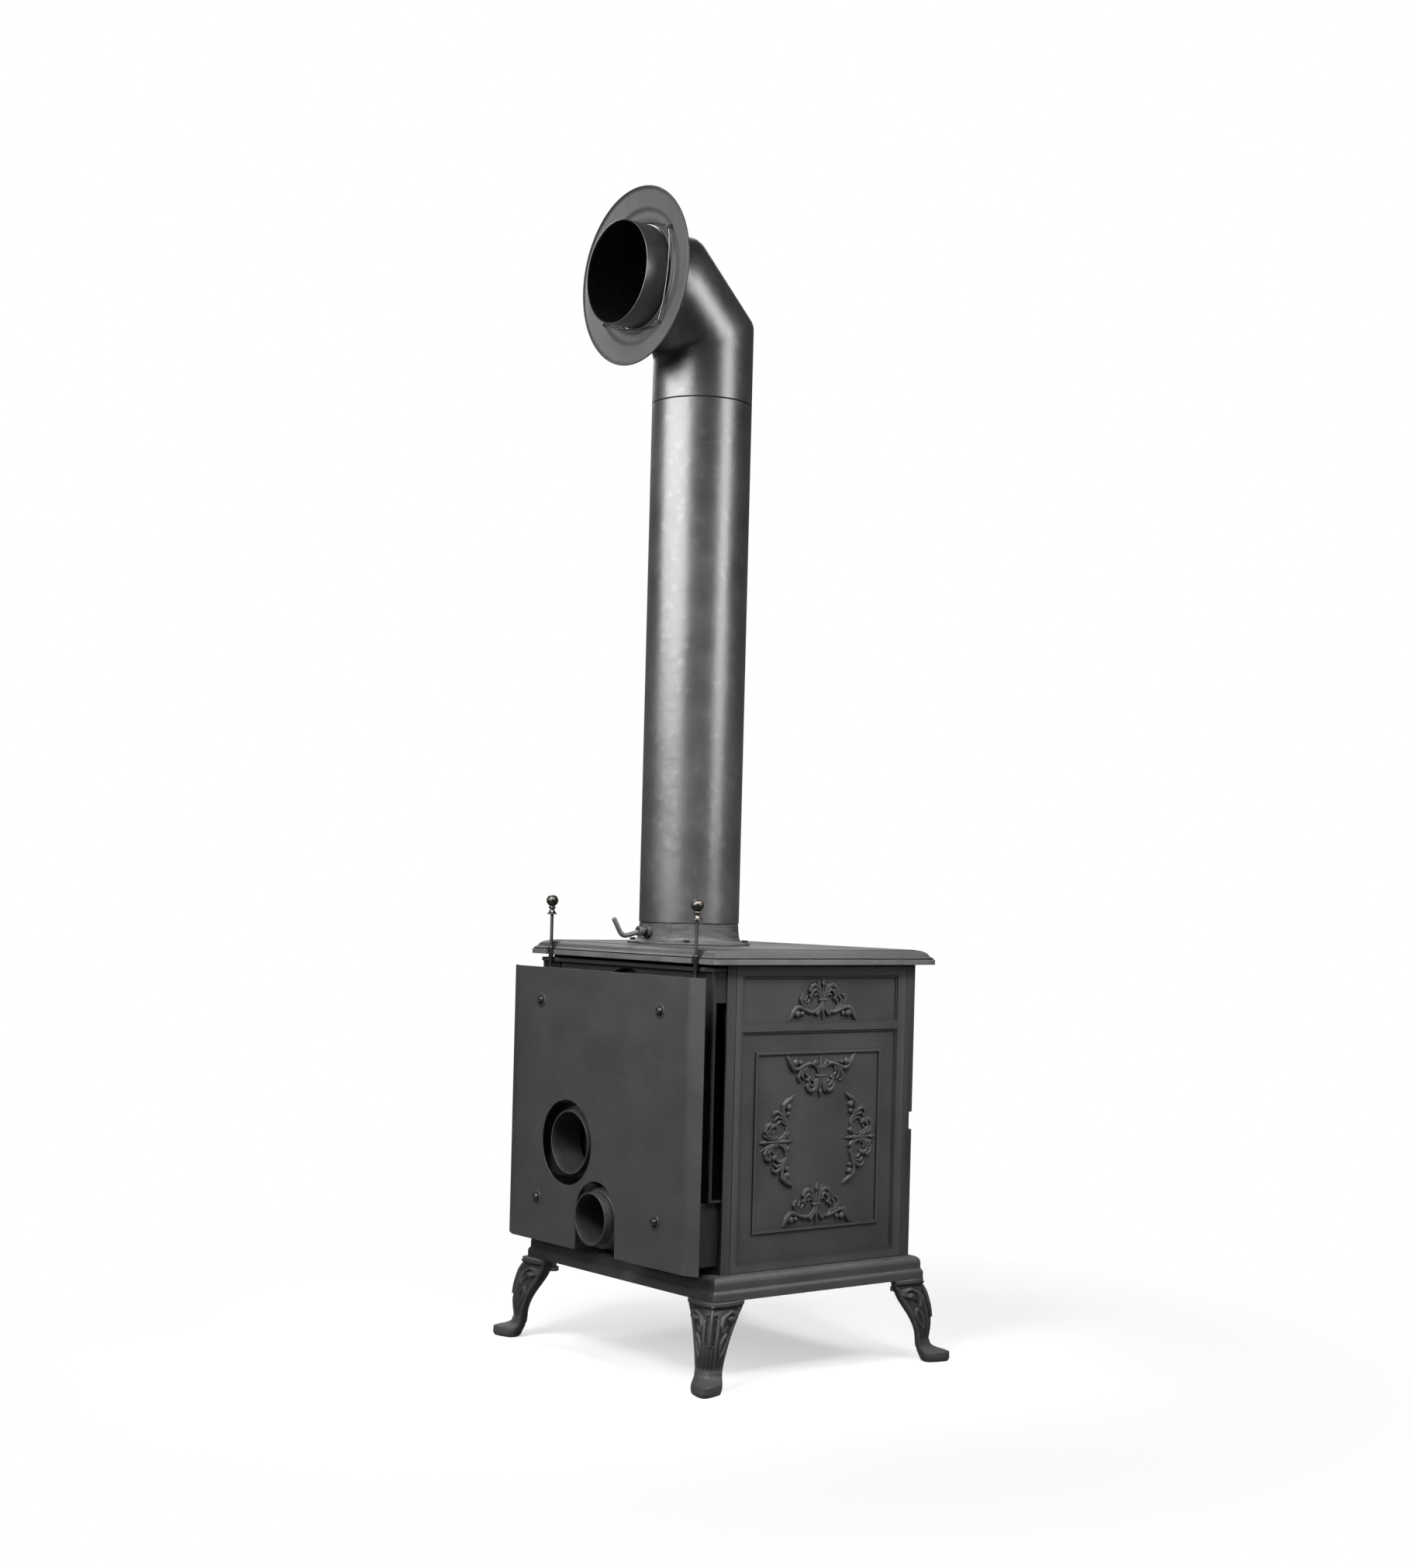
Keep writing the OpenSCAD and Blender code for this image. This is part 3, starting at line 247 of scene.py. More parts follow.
# each stroke of the leaf and its hollows: the share of its height that is used, and (x, z, radius) in mm
# on one half of a face 60 mm wide
leaf_ridges = [
    (0.8, [(0, 66, 1.6), (0, 100, 2.2), (0, 115, 2.4)]),
    (0.95, [(17.5, 83, 1.7), (14.2, 92, 2.1), (14.6, 102, 2.4), (19.5, 108.6, 2.6), (25.5, 106, 2.5),
            (27.2, 99.5, 2.3), (23.4, 96.8, 2.6), (21.8, 100, 2.9)]),
    (0.85, [(22.5, 79, 1.7), (26, 70, 1.8), (25.4, 58, 1.6), (20.6, 47, 1.2)]),
    (0.85, [(22.5, 79, 1.7), (18.3, 68, 1.7), (18.3, 57, 1.5), (20.6, 47, 1.2)]),
    (0.75, [(9.8, 99, 1.4), (11.0, 84, 1.7), (12.2, 66, 1.7), (12.6, 48, 1.5), (12.8, 34, 1.4),
            (14.6, 23, 1.2)]),
    (0.7, [(5.6, 60, 1.0), (5.2, 44, 1.2), (5.4, 32, 1.2), (6.6, 20, 1.0)])]
leaf_hollows = [
    (0.8, [(5.6, 104, 2.4), (6.4, 92, 2.8), (7.0, 78, 2.5), (7.6, 66, 1.5)]),
    (0.6, [(20.5, 90, 2.0), (19.4, 84, 1.4)])]


def smooth_through(x, xs, ys):
    """A smooth curve through given points: between two points a cubic, whose slope at each of them comes
    from the points beside it."""
    slopes = np.gradient(ys, xs, axis=0)
    k = np.clip(np.searchsorted(xs, x, side="right") - 1, 0, len(xs) - 2)
    h = (xs[k + 1] - xs[k])[..., None]
    t = (x - xs[k])[..., None]/h
    return ((1 + 2*t)*(1 - t)**2*ys[k] + t*(1 - t)**2*h*slopes[k]
            + t*t*(3 - 2*t)*ys[k + 1] + t*t*(t - 1)*h*slopes[k + 1])


def stroke(x, y, points):
    """Height of a rounded ridge along a line of (x, y, radius): half a ball of that radius rolls along it."""
    height = np.zeros(np.broadcast(x, y).shape)
    points = np.asarray(points, float)
    for (ax, ay, ar), (bx, by, br) in zip(points[:-1], points[1:]):
        length = max((bx - ax)**2 + (by - ay)**2, 1e-9)
        t = np.clip(((x - ax)*(bx - ax) + (y - ay)*(by - ay))/length, 0, 1)
        away = (x - ax - t*(bx - ax))**2 + (y - ay - t*(by - ay))**2
        height = np.maximum(height, np.sqrt(np.maximum((ar + t*(br - ar))**2 - away, 0)))
    return height


def highest(x, y, strokes):
    """The highest at each place of several strokes, each of them used at a share of its height."""
    height = np.zeros(np.broadcast(x, y).shape)
    for share, points in strokes:
        height = np.maximum(height, share*stroke(x, y, points))
    return height


def step(x, low, high):
    """0 below low, 1 above high, and an S-curve between."""
    t = np.clip((x - low)/(high - low), 0, 1)
    return t*t*(3 - 2*t)


def leg_carving(q, v):
    """Height of the carving in mm, by the share of the half width (q) and of the height (v): a sunk field,
    the leaf's ridges on it and hollows in it, and a raised strip with a groove under it at the top."""
    x, z = np.abs(q)*30, v*leg_height
    field = step(v, 0.20, 0.30)*(1 - step(v, 0.925, 0.945))*(1 - step(np.abs(q), 0.90, 0.99))
    strip = 2.2*step(v, 0.945, 0.962) - 1.1*step(v, 0.905, 0.93)*(1 - step(v, 0.938, 0.955))
    return (strip*(1 - step(np.abs(q), 0.99, 1.0)) - 1.7*field
            + 1.75*highest(x, z, leaf_ridges)*step(v, 0.14, 0.2) - 2.0*highest(x, z, leaf_hollows))


def store_carving(mesh, share):
    """Keeps, for the finish, how far each point stands out of the carving's hollows, from 0 to 1."""
    values = mesh.attributes.new("carving", "FLOAT", "POINT").data
    values.foreach_set("value", np.ravel(share).astype(np.float32))


def closed_skin(name, grid, carving=None):
    """A mesh from a grid of points, rows by columns, that closes on itself along each row. A row whose
    points are all one point closes an end."""
    rows, columns = grid.shape[:2]
    index = np.arange(rows*columns).reshape(rows, columns)
    beside = np.roll(index, -1, axis=1)
    quads = np.stack([index[:-1], beside[:-1], beside[1:], index[1:]], axis=-1).reshape(-1, 4)
    mesh = bpy.data.meshes.new(name)
    mesh.from_pydata(grid.reshape(-1, 3), [], quads.tolist())
    if carving is not None:
        store_carving(mesh, carving)
    b = bmesh.new()
    b.from_mesh(mesh)
    bmesh.ops.remove_doubles(b, verts=b.verts, dist=1e-6)
    bmesh.ops.recalc_face_normals(b, faces=b.faces)
    for face in b.faces:
        face.smooth = True
    b.to_mesh(mesh)
    b.free()
    return mesh


def leg_grid():
    """The leg in its own place, with its ridge out along +X: a grid of points in metres, and how far each
    stands out of the carving's hollows. A section is a bowed front and a rounder back."""
    v = np.concatenate([np.linspace(0.008, 0.2, 46), np.linspace(0.2, 1, 150)[1:]])[:, None]
    sections = smooth_through(v[:, 0], leg_sections[:, 0], leg_sections[:, 1:])
    ridge, back, half, wing = [column[:, None] for column in sections.T]
    z = v*leg_height
    q = np.linspace(-1, 1, 131)[None, :]
    front = np.stack([ridge - (ridge - wing)*np.abs(q)**1.65 + 0*v, half*q + 0*v, z + 0*q], axis=-1)
    turn = np.linspace(0, np.pi, 42)[None, 1:-1]
    rear = np.stack([wing - (wing - back)*np.sin(turn)**0.8, half*np.cos(turn) + 0*v, z + 0*turn], axis=-1)
    grid = np.concatenate([front, rear], axis=1)
    along = np.roll(grid, -1, axis=1) - np.roll(grid, 1, axis=1)
    normal = np.cross(along, np.gradient(grid, axis=0))
    normal /= np.linalg.norm(normal, axis=-1, keepdims=True)
    height = np.concatenate([leg_carving(q + 0*v, v + 0*q), np.zeros(rear.shape[:2])], axis=1)
    grid += normal*height[..., None]
    sole, top = grid[0].copy(), grid[-1].copy()
    middle = sole.mean(axis=0)
    sole = middle + (sole - middle)*0.95
    sole[:, 2] = 0
    sole_centre = (middle*[1, 1, 0])[None, None] + 0*sole[None]
    top_centre = (0*top + top.mean(axis=0))[None]
    grid = np.concatenate([sole_centre, sole[None], grid, top_centre])
    height = np.pad(step(height, -2.6, 0.5), ((2, 1), (0, 0)), mode="edge")
    return grid/1000, height


leg_iron = cast_iron("leg_iron", dark=0.027, light=0.046, grain=0.7, edge_wear_and_highlight=0.3, carved=True)
leg_x = 0.228  # metres from the stove's middle to each leg
leg_shape, leg_share = leg_grid()
# node, side, place in y, turn of the ridge in degrees, and how far back its top and toe lean in metres
for leg_name, sx, leg_y, leg_turn, top_back, toe_back in (
        ("leg_front_left", -1, -0.199, -135, 0, -0.001), ("leg_front_right", 1, -0.199, -45, 0, -0.001),
        ("leg_rear_left", -1, 0.198, 135, 0.0015, 0.009), ("leg_rear_right", 1, 0.198, 45, 0.009, 0.012)):
    leg_matrix = np.array(Matrix.Rotation(math.radians(leg_turn), 3, "Z"))
    leg_points = leg_shape @ leg_matrix.T + [sx*leg_x, leg_y, 0]
    leg_points[..., 1] += toe_back + (top_back - toe_back)*leg_points[..., 2]/(leg_height/1000)
    leg_mesh = closed_skin(leg_name, leg_points, leg_share)
    add_piece(leg_name + "_carved", leg_mesh, "stove", leg_iron, "cast_iron", leg_name)


def steel(name, colour=(0.30, 0.30, 0.31), roughness=0.38):
    """Oiled steel: a dull metal with a fine grain and darker smears."""
    material, place, shader = new_finish(name)
    smear = cloud(place, 0.02, 4.0)
    tint = smear.spread(0.3, 0.7).blend(tuple(c*0.6 for c in colour), colour)
    fill(shader, Base_Color=tint, Metallic=0.9,
         Roughness=smear.spread(0.3, 0.7, roughness - 0.08, roughness + 0.1),
         Normal=relief(cloud(place, 0.0006, 2.0), 0.00004))
    return material


fixing_steel = steel("oiled_fixings")
rounded_copy("leg_bolts", 0.0006, "stove", fixing_steel, "fixing_steel")

# ---- Side castings ----
# The two iron walls at the sides stand between the base and the top plate and are drawn together by
# the tie rods. Each has a raised border, a bead frame and five cast scroll ornaments.

# the joints round the casting, the two steps of each sunk field, and both edges of the bead
border_outlines = [
    (-167.5, 160.5, 156.5, 591.5), (-150.5, 148, 508, 575), (-147.5, 145, 511, 572),
    (-150.5, 148, 169, 496), (-147.5, 145, 172, 493), (-120.5, 121, 209, 468), (-115.5, 116, 214, 463)]
# Dark lines are painted along these outlines: round the whole casting partly a dark joint and partly painted
# shade under the top plate's lip, and along the steps of the sunk fields and the bead painted shade.
side_iron = cast_iron("side_iron", dark=0.022, light=0.038, outlines=border_outlines)
for side_node in ("left_side_panel", "right_side_panel"):
    rounded_copy(side_node, 0.00045, "stove", side_iron, "cast_iron")

side_face = 211  # mm from the middle of the stove to the sunk field that the ornaments stand on
# strokes of the ornament, from its middle out to its right: (x, y, radius) in mm
scroll_strokes = [
    [(0, 50, 2.0), (0, 55, 3.6), (0, 60, 2.2), (0, 64, 0.6)],
    [(0, 33, 2.2), (0, 52, 2.0)],
    [(2, 36, 1.6), (5, 48, 2.0), (8, 54, 2.2), (12.5, 59.5, 0.8)],
    [(3, 36, 2.0), (6, 43, 2.4), (9.5, 50, 3.0), (16, 54.3, 3.4), (23, 51.5, 3.8), (25.5, 46, 3.6)],
    [(4, 35, 1.8), (7.5, 42, 2.2), (15, 47.5, 2.8), (21, 44, 3.2), (24, 38, 3.4), (21.5, 34.5, 3.2)],
    [(6, 34, 1.4), (9, 39.5, 1.8), (13.5, 41, 2.0), (16, 38.3, 2.0)],
    [(-6.5, 32.3, 2.6), (6.5, 32.3, 2.6)],
    [(3.5, 29, 2.0), (7, 21, 2.4), (14, 15.3, 2.8), (22, 14.2, 3.0), (33, 17.5, 3.0), (44, 22, 3.2),
     (52, 21, 4.2), (57.5, 14, 4.4), (62, 6.5, 3.2), (66.5, 1, 1.0)],
    [(30, 16.5, 2.0), (39, 25, 2.8), (43, 33, 3.2), (41, 38.5, 2.4), (37, 40, 1.4)],
    [(27, 16, 1.8), (34, 25, 2.4), (35.5, 32, 2.6), (31, 37.5, 1.6)],
    [(23, 16, 1.6), (28.5, 23, 2.0), (29, 28.5, 2.2), (26, 31.5, 2.6)],
    [(49, 12.3, 5.4), (49.01, 12.3, 5.4)],
    [(39.5, 12.6, 4.0), (39.51, 12.6, 4.0)],
    [(0, 29, 2.5), (0, 20, 3.6), (0, 12, 2.6), (0, 1, 0.7)],
    [(2, 24, 1.8), (6, 17.5, 2.6), (11, 12.5, 4.0)],
]


def scroll_field():
    """Grid of the scroll ornament in mm: x across, y up, and its height, the same on both sides of the
    middle. A stroke rises steeply at its foot and more slowly above, and the ground lies a little lower."""
    x, y = np.meshgrid(np.arange(-68.4, 68.5, 0.45), np.arange(-2.25, 66, 0.45))
    height = highest(np.abs(x), y, [(1, line) for line in scroll_strokes])
    return x, y, np.where(height > 0, np.minimum(0.5 + 1.3*height, 1.6 + 0.8*height), -0.35)


def scroll_mesh(name, field, turn, centre_y, centre_z, side):
    """Lays the ornament on a side wall: turned by an angle about its foot, standing out along side times
    X. Only the faces that touch a stroke are kept."""
    x, y, height = field
    c, s = math.cos(math.radians(turn)), math.sin(math.radians(turn))
    across, up = centre_y + x*c - y*s, centre_z + x*s + y*c
    points = np.stack([side*(side_face + height), across, up], axis=-1).reshape(-1, 3)/1000
    index = np.arange(x.size).reshape(x.shape)
    quads = np.stack([index[:-1, :-1], index[:-1, 1:], index[1:, 1:], index[1:, :-1]], axis=-1).reshape(-1, 4)
    quads = quads[(height.reshape(-1)[quads] > 0).any(axis=1)]
    if side < 0:
        quads = quads[:, ::-1]
    used, faces = np.unique(quads, return_inverse=True)
    mesh = bpy.data.meshes.new(name)
    mesh.from_pydata(points[used], [], faces.reshape(-1, 4).tolist())
    store_carving(mesh, step(height.reshape(-1)[used], 0.4, 2.6))
    mesh.shade_smooth()
    return mesh


scroll_iron = cast_iron("scroll_iron", light=0.040, roughness=0.62, grain=0.5, edge_wear_and_highlight=0.0, carved=True)
ornament = scroll_field()
for side_name, side in (("left", -1), ("right", 1)):
    for spot, turn, spot_y, spot_z in (
            ("band", 0, -3.0, 508.6), ("top", 180, -2.0, 463.0), ("foot", 0, 0.0, 212.5),
            ("rear", -90, 46.0, 338.4), ("front", 90, -50.0, 338.4)):
        scroll_name = f"{side_name}_scroll_{spot}"
        scroll = scroll_mesh(scroll_name, ornament, turn, spot_y, spot_z, side)
        add_piece(scroll_name, scroll, "stove", scroll_iron, "cast_iron")

# ---- Rear casting and blanking plate ----
# The iron wall behind the fire, with a beaded post at each corner and a ledge under the top plate. A
# round plate on four bolts closes its spare flue hole. Most of it is in the shade of the heat shield.


def box_shape(low, high):
    """A block between two corners in mm, used to cut with."""
    b = bmesh.new()
    bmesh.ops.create_cube(b, size=1)
    low, high = np.array(low)/1000, np.array(high)/1000
    bmesh.ops.scale(b, vec=high - low, verts=b.verts)
    bmesh.ops.translate(b, vec=(low + high)/2, verts=b.verts)
    return b


def cut_away(mesh, cutters):
    """The mesh with each cutter taken away from it, as a new mesh."""
    piece = bpy.data.objects.new("to_cut", mesh)
    bpy.context.scene.collection.objects.link(piece)
    tools = []
    for shape in cutters:
        tool_mesh = bpy.data.meshes.new("cutter")
        shape.to_mesh(tool_mesh)
        shape.free()
        tool = bpy.data.objects.new("cutter", tool_mesh)
        bpy.context.scene.collection.objects.link(tool)
        tools.append(tool)
        cut = piece.modifiers.new("cut", "BOOLEAN")
        cut.object, cut.operation, cut.solver = tool, "DIFFERENCE", "EXACT"
    bpy.context.view_layer.update()
    result = bpy.data.meshes.new_from_object(piece.evaluated_get(bpy.context.evaluated_depsgraph_get()))
    for thing in [piece, *tools]:
        bpy.data.objects.remove(thing)
    return result


# Painted shade: this iron is made much darker than the other iron, for the shade behind the heat shield; the
# parts inside the firebox use it too.
painted_shade_iron = cast_iron("rear_iron_painted_shade", dark=0.010, light=0.017, shine=0.3)
rounded_copy("blanking_plate", 0.0008, "stove", painted_shade_iron, "cast_iron")
# a dark slot stands open between each corner post and the side casting
post_slots = [box_shape([-213, 174.6, 262], [-204, 194.4, 538]),
              box_shape([204, 174.6, 376], [213, 194.4, 538])]
rounded_copy("rear_panel", 0.0008, "stove", painted_shade_iron, "cast_iron", cutters=post_slots)
rounded_copy("blanking_bolts", 0.0005, "stove", fixing_steel, "fixing_steel")

# ---- Front frame ----
# The iron front that carries the door's hinges, the latch strike and the frame of the ash drawer. It
# is one casting, which stands on the base under the top plate.

# Painted shade: this iron is made darker than the other iron, for the shade on the frame's side edge.
front_iron_painted_shade = cast_iron("front_iron_painted_shade", dark=0.009, light=0.015, shine=0.35)
rounded_copy("front_frame", 0.0009, "stove", front_iron_painted_shade, "cast_iron", angle=40)

# ---- Top plate and tie rods ----
# The hot plate: a lip, a moulded edge that runs up to the flat, two notches for the pull rods and
# the flue hole. Four steel rods pull it down on the walls.


def bowed_ring(inset, height, turns, half_x=229.0, front=-217.0, rear=212.0, power=60.0):
    """A slightly bowed rectangle in mm: a superellipse, set in from the plate's rim, at one height."""
    c, s = np.cos(turns), np.sin(turns)
    return np.stack([(half_x - inset)*np.sign(c)*np.abs(c)**(2/power),
                     (front + rear)/2 + ((rear - front)/2 - inset)*np.sign(s)*np.abs(s)**(2/power),
                     height + 0*c], axis=-1)


def even_turns(count):
    """Angles that put points at even distances along the rim of the plate."""
    fine = np.linspace(0, 2*np.pi, 200001)
    run = np.concatenate([[0], np.cumsum(np.linalg.norm(np.diff(bowed_ring(0, 0, fine), axis=0), axis=-1))])
    return np.interp(np.linspace(0, run[-1], count, endpoint=False), run, fine)


def eased(points, cut, steps=4, closed=False):
    """A line with its corners rounded: each corner becomes a short curve that starts and ends a distance
    of cut away from it."""
    points = np.asarray(points, float)
    inner = points if closed else points[1:-1]
    before = (np.roll(points, 1, axis=0) if closed else points[:-2]) - inner
    after = (np.roll(points, -1, axis=0) if closed else points[2:]) - inner
    b, a = np.linalg.norm(before, axis=-1, keepdims=True), np.linalg.norm(after, axis=-1, keepdims=True)
    reach = np.minimum(np.minimum(a, b)*0.48, cut)
    start, end = inner + before/np.maximum(b, 1e-9)*reach, inner + after/np.maximum(a, 1e-9)*reach
    t = np.linspace(0, 1, steps + 1)[None, :, None]
    curve = (1 - t)**2*start[:, None] + 2*t*(1 - t)*inner[:, None] + t*t*end[:, None]
    curve = curve.reshape(-1, points.shape[1])
    return curve if closed else np.concatenate([points[:1], curve, points[-1:]])


def round_shape(centre, axis, length, radius, sides=96):
    """A round bar in mm about a centre along Y or Z, used to cut with."""
    b = bmesh.new()
    radius, length = radius/1000, length/1000
    bmesh.ops.create_cone(b, cap_ends=True, segments=sides, radius1=radius, radius2=radius, depth=length)
    turn = {"Y": Matrix.Rotation(math.pi/2, 4, "X"), "Z": Matrix()}[axis]
    bmesh.ops.transform(b, matrix=Matrix.Translation(Vector(centre)/1000) @ turn, verts=b.verts)
    return b


def soften(piece, radius, angle=50, steps=2):
    """Shades a piece smooth and rounds its sharp edges over by a radius in metres."""
    piece.data.shade_smooth()
    round_edges(piece, radius, angle, steps)


# heights in mm of the plate's lower edge and of its flat top, and the flue's place behind the middle
lip_low, hot, flue_y = 592.0, 614.0, 81
mould = np.array([[0.06, 1.5], [0.15, 1.8], [0.30, 2.6], [0.40, 3.6], [0.55, 4.4], [0.75, 5.0], [1.0, 5.3]])
mould_in = np.linspace(0.06, 1, 40)
mould_up = smooth_through(mould_in, mould[:, 0], mould[:, 1:])[:, 0]
mould_line = np.stack([mould_in*20, lip_low + 8 + 13*(mould_up - 1)/4.3], axis=-1)
# the edge of the plate as (inset, height): its lip, a groove, the mould, a second groove and the flat
top_lip = [[30, lip_low], [0, lip_low], [0, lip_low + 7.4], [1.9, lip_low + 7.6], [1.9, lip_low + 8.6],
           *mould_line[:2]]
top_crest = [*mould_line[-2:], [20.4, hot - 1.9], [21.1, hot - 1.9], [21.5, hot - 0.3], [32, hot - 0.1]]
top_profile = np.concatenate([
    eased(top_lip, 0.5, 3)[:-1], mould_line[1:-2], eased(top_crest, 0.25, 3), [[36, hot]]])
plate_turns = even_turns(520)
top_rings = np.stack([bowed_ring(inset, height, plate_turns) for inset, height in top_profile])
flat_middle = np.array([[[0, -2.5, hot]]]) + 0*top_rings[:1]
low_middle = np.array([[[0, -2.5, lip_low]]]) + 0*top_rings[:1]
top_mesh = closed_skin("top_plate", np.concatenate([low_middle, top_rings, flat_middle])/1000)
top_mesh = cut_away(top_mesh, [
    box_shape([-198, -164, lip_low - 1], [198, 157, hot - 8]),
    round_shape([0, flue_y, hot], "Z", 60, 70.3),
    box_shape([-192, 198.5, lip_low - 2], [-174, 230, hot + 2]),
    box_shape([166, 198.5, lip_low - 2], [184, 230, hot + 2])])


def plate_iron(name):
    """Iron of the hot plate, paler than the walls, with a painted highlight along its lip and painted shade
    in its two grooves.
    """
    material = cast_iron(name, dark=0.036, light=0.054, grain=1.2, shine=0.22)
    nodes = material.node_tree.nodes
    place = Tone(material.node_tree, nodes["Texture Coordinate"].outputs["Object"])
    colour = Tone(material.node_tree, nodes["Principled BSDF"].inputs["Base Color"].links[0].from_socket)
    height = place.node("ShaderNodeSeparateXYZ", {}, {0: place}, out=2)*1000 - lip_low
    # Painted highlight: the lip is made paler, in patches.
    lip = height.spread(7.2, 8.0, 1.0, 0.0)*cloud(place, 0.05, 3.0).spread(0.25, 0.65, 0.45, 0.95)
    # Painted shade: the two grooves are made nearly black.
    low_groove_painted_shade = abs(height - 8.3).spread(0.6, 1.1, 1.0, 0.0)
    high_groove_painted_shade = abs(height - 20.5).spread(0.4, 0.8, 1.0, 0.0)
    colour = lip.blend(colour, (0.115, 0.114, 0.113))
    colour = (low_groove_painted_shade.larger(high_groove_painted_shade)*0.85).blend(colour, (0.006, 0.006, 0.006))
    fill(nodes["Principled BSDF"], Base_Color=colour)
    return material


top_iron = plate_iron("top_plate_iron")
top_piece = add_piece("top_plate_casting", top_mesh, "stove", top_iron, "cast_iron", "top_plate")
soften(top_piece, 0.0006, angle=55)
rounded_copy("tie_rods", 0.0004, "stove", fixing_steel, "fixing_steel")

# ---- Flue collar and damper ----
# An iron collar bolted on the hot plate, over which the pipe slides. Its two bosses carry the damper
# spindle in bushes; the round damper disc is screwed to the spindle, and a bent rod turns it.


def held(line, near=0.7):
    """The same line with two extra points on each long stretch, near its ends, so that it is shaded
    flat between them."""
    line = np.asarray(line, float)
    length = np.linalg.norm(np.diff(line, axis=0), axis=-1)
    parts = []
    for start, end, run in zip(line[:-1], line[1:], length):
        parts.append(start)
        if run > 4*near:
            parts += [start + (end - start)*near/run, end - (end - start)*near/run]
    return np.array(parts + [line[-1]])


def turned(name, profile, centre, axis="Z", sides=96):
    """A turned piece: a profile of (radius, height) in mm swept round the Y or Z axis through a centre."""
    profile = held(profile)
    angle = np.linspace(0, 2*np.pi, sides, endpoint=False)[None, :]
    r, h = profile[:, :1], profile[:, 1:]
    round_part = np.stack([r*np.cos(angle), r*np.sin(angle), h + 0*angle], axis=-1)
    order = {"Z": [0, 1, 2], "Y": [0, 2, 1]}[axis]
    return closed_skin(name, (round_part[..., order] + np.array(centre))/1000)


damper_z = 633  # height in mm of the damper's spindle
collar_profile = eased([
    (70.3, 0), (92, 0), (92, 3), (91, 4.2), (81.5, 4.6), (78.2, 6.8), (76.2, 11), (74.9, 20),
    (74.3, 30.8), (73.2, 31.3), (72.5, 77), (70.3, 77)], 1.0, 4, closed=True)
collar_profile = np.concatenate([collar_profile, collar_profile[:1]])
collar_mesh = turned("flue_collar", collar_profile, (0, flue_y, hot), sides=144)
collar_iron = cast_iron("collar_iron", grain=0.9, streak=0.3)
add_piece("flue_collar_casting", collar_mesh, "stove", collar_iron, "cast_iron", "flue_collar")
for boss_name, boss_y, boss_way in (("rear_damper_boss", 148.0, 1), ("front_damper_boss", 14.0, -1)):
    boss_profile = eased([(6.1, -4), (9.5, -4), (9.5, 14.2), (8.9, 15), (6.1, 15), (6.1, -4)], 0.7, 4)
    boss_profile[:, 1] *= boss_way
    boss_mesh = turned(boss_name, boss_profile, (0, boss_y, damper_z), "Y", 64)
    add_piece(boss_name, boss_mesh, "stove", collar_iron, "cast_iron")
seam = box_shape([-3.4, 73.2, 619], [3.4, 76.6, 645.6])
seam_matrix = Matrix.Translation((0, flue_y/1000, 0)) @ Matrix.Rotation(math.radians(29), 4, "Z")
bmesh.ops.transform(seam, matrix=seam_matrix, verts=seam.verts)
seam_mesh = bpy.data.meshes.new("collar_seam")
seam.to_mesh(seam_mesh)
seam.free()
soften(add_piece("collar_seam", seam_mesh, "stove", collar_iron, "cast_iron"), 0.0011, angle=40, steps=3)


def tube(name, path, radius, sides=20):
    """A round rod in mm along a path: circles square to the path, joined, with rounded ends."""
    path = np.asarray(path, float)
    radius = np.broadcast_to(np.asarray(radius, float), len(path))
    along = np.gradient(path, axis=0)
    along /= np.linalg.norm(along, axis=-1, keepdims=True)
    side = np.cross(along, [0.31, 0.17, 0.94])
    side /= np.linalg.norm(side, axis=-1, keepdims=True)
    up = np.cross(along, side)
    angle = np.linspace(0, 2*np.pi, sides, endpoint=False)
    c, s = np.cos(angle)[None, :, None], np.sin(angle)[None, :, None]
    ring = path[:, None] + radius[:, None, None]*(c*side[:, None] + s*up[:, None])
    ends = []
    for k, way in ((0, -1), (-1, 1)):
        cap = [path[k] + (ring[k] - path[k])*share + way*along[k]*radius[k]*lift
               for share, lift in ((0.87, 0.35), (0.6, 0.6), (0.0, 0.7))]
        ends.append(np.stack(cap[::-1] if way < 0 else cap))
    return closed_skin(name, np.concatenate([ends[0], ring, ends[1]])/1000)


def blackened(name):
    """Blackened steel rod: dark, half matt, with a fine grain and paler rubbed spots."""
    material, place, shader = new_finish(name)
    rub = cloud(place, 0.012, 4.0)
    colour = rub.spread(0.35, 0.75).blend((0.022, 0.022, 0.023), (0.055, 0.055, 0.055))
    fill(shader, Base_Color=colour, Metallic=0.75, Roughness=rub.spread(0.3, 0.7, 0.42, 0.3),
         Normal=relief(cloud(place, 0.0008, 2.0), 0.00004))
    return material


black_steel = blackened("blackened_rod")
rounded_copy("collar_bolts", 0.0005, "stove", black_steel, "fixing_steel")
rounded_copy("damper_bushes", 0.0003, "stove", black_steel, "fixing_steel")
handle_path = eased([(0, 60, damper_z), (0, 168, damper_z), (4, 202, 624.5), (7, 215, 650)], 9, 10)
spindle_path = np.concatenate([[(0, -2, damper_z), (0, 40, damper_z)], handle_path])
spindle_radius = np.interp(spindle_path[:, 1], [-2, 163, 172, 215], [4, 4, 3.7, 3.6])
spindle_mesh = tube("damper_spindle", spindle_path, spindle_radius, 28)
handle_steel = cast_iron("handle_iron", dark=0.05, light=0.075, roughness=0.42, grain=0.5)
add_piece("damper_spindle_rod", spindle_mesh, "damper", handle_steel, "blackened_steel", "damper_spindle")
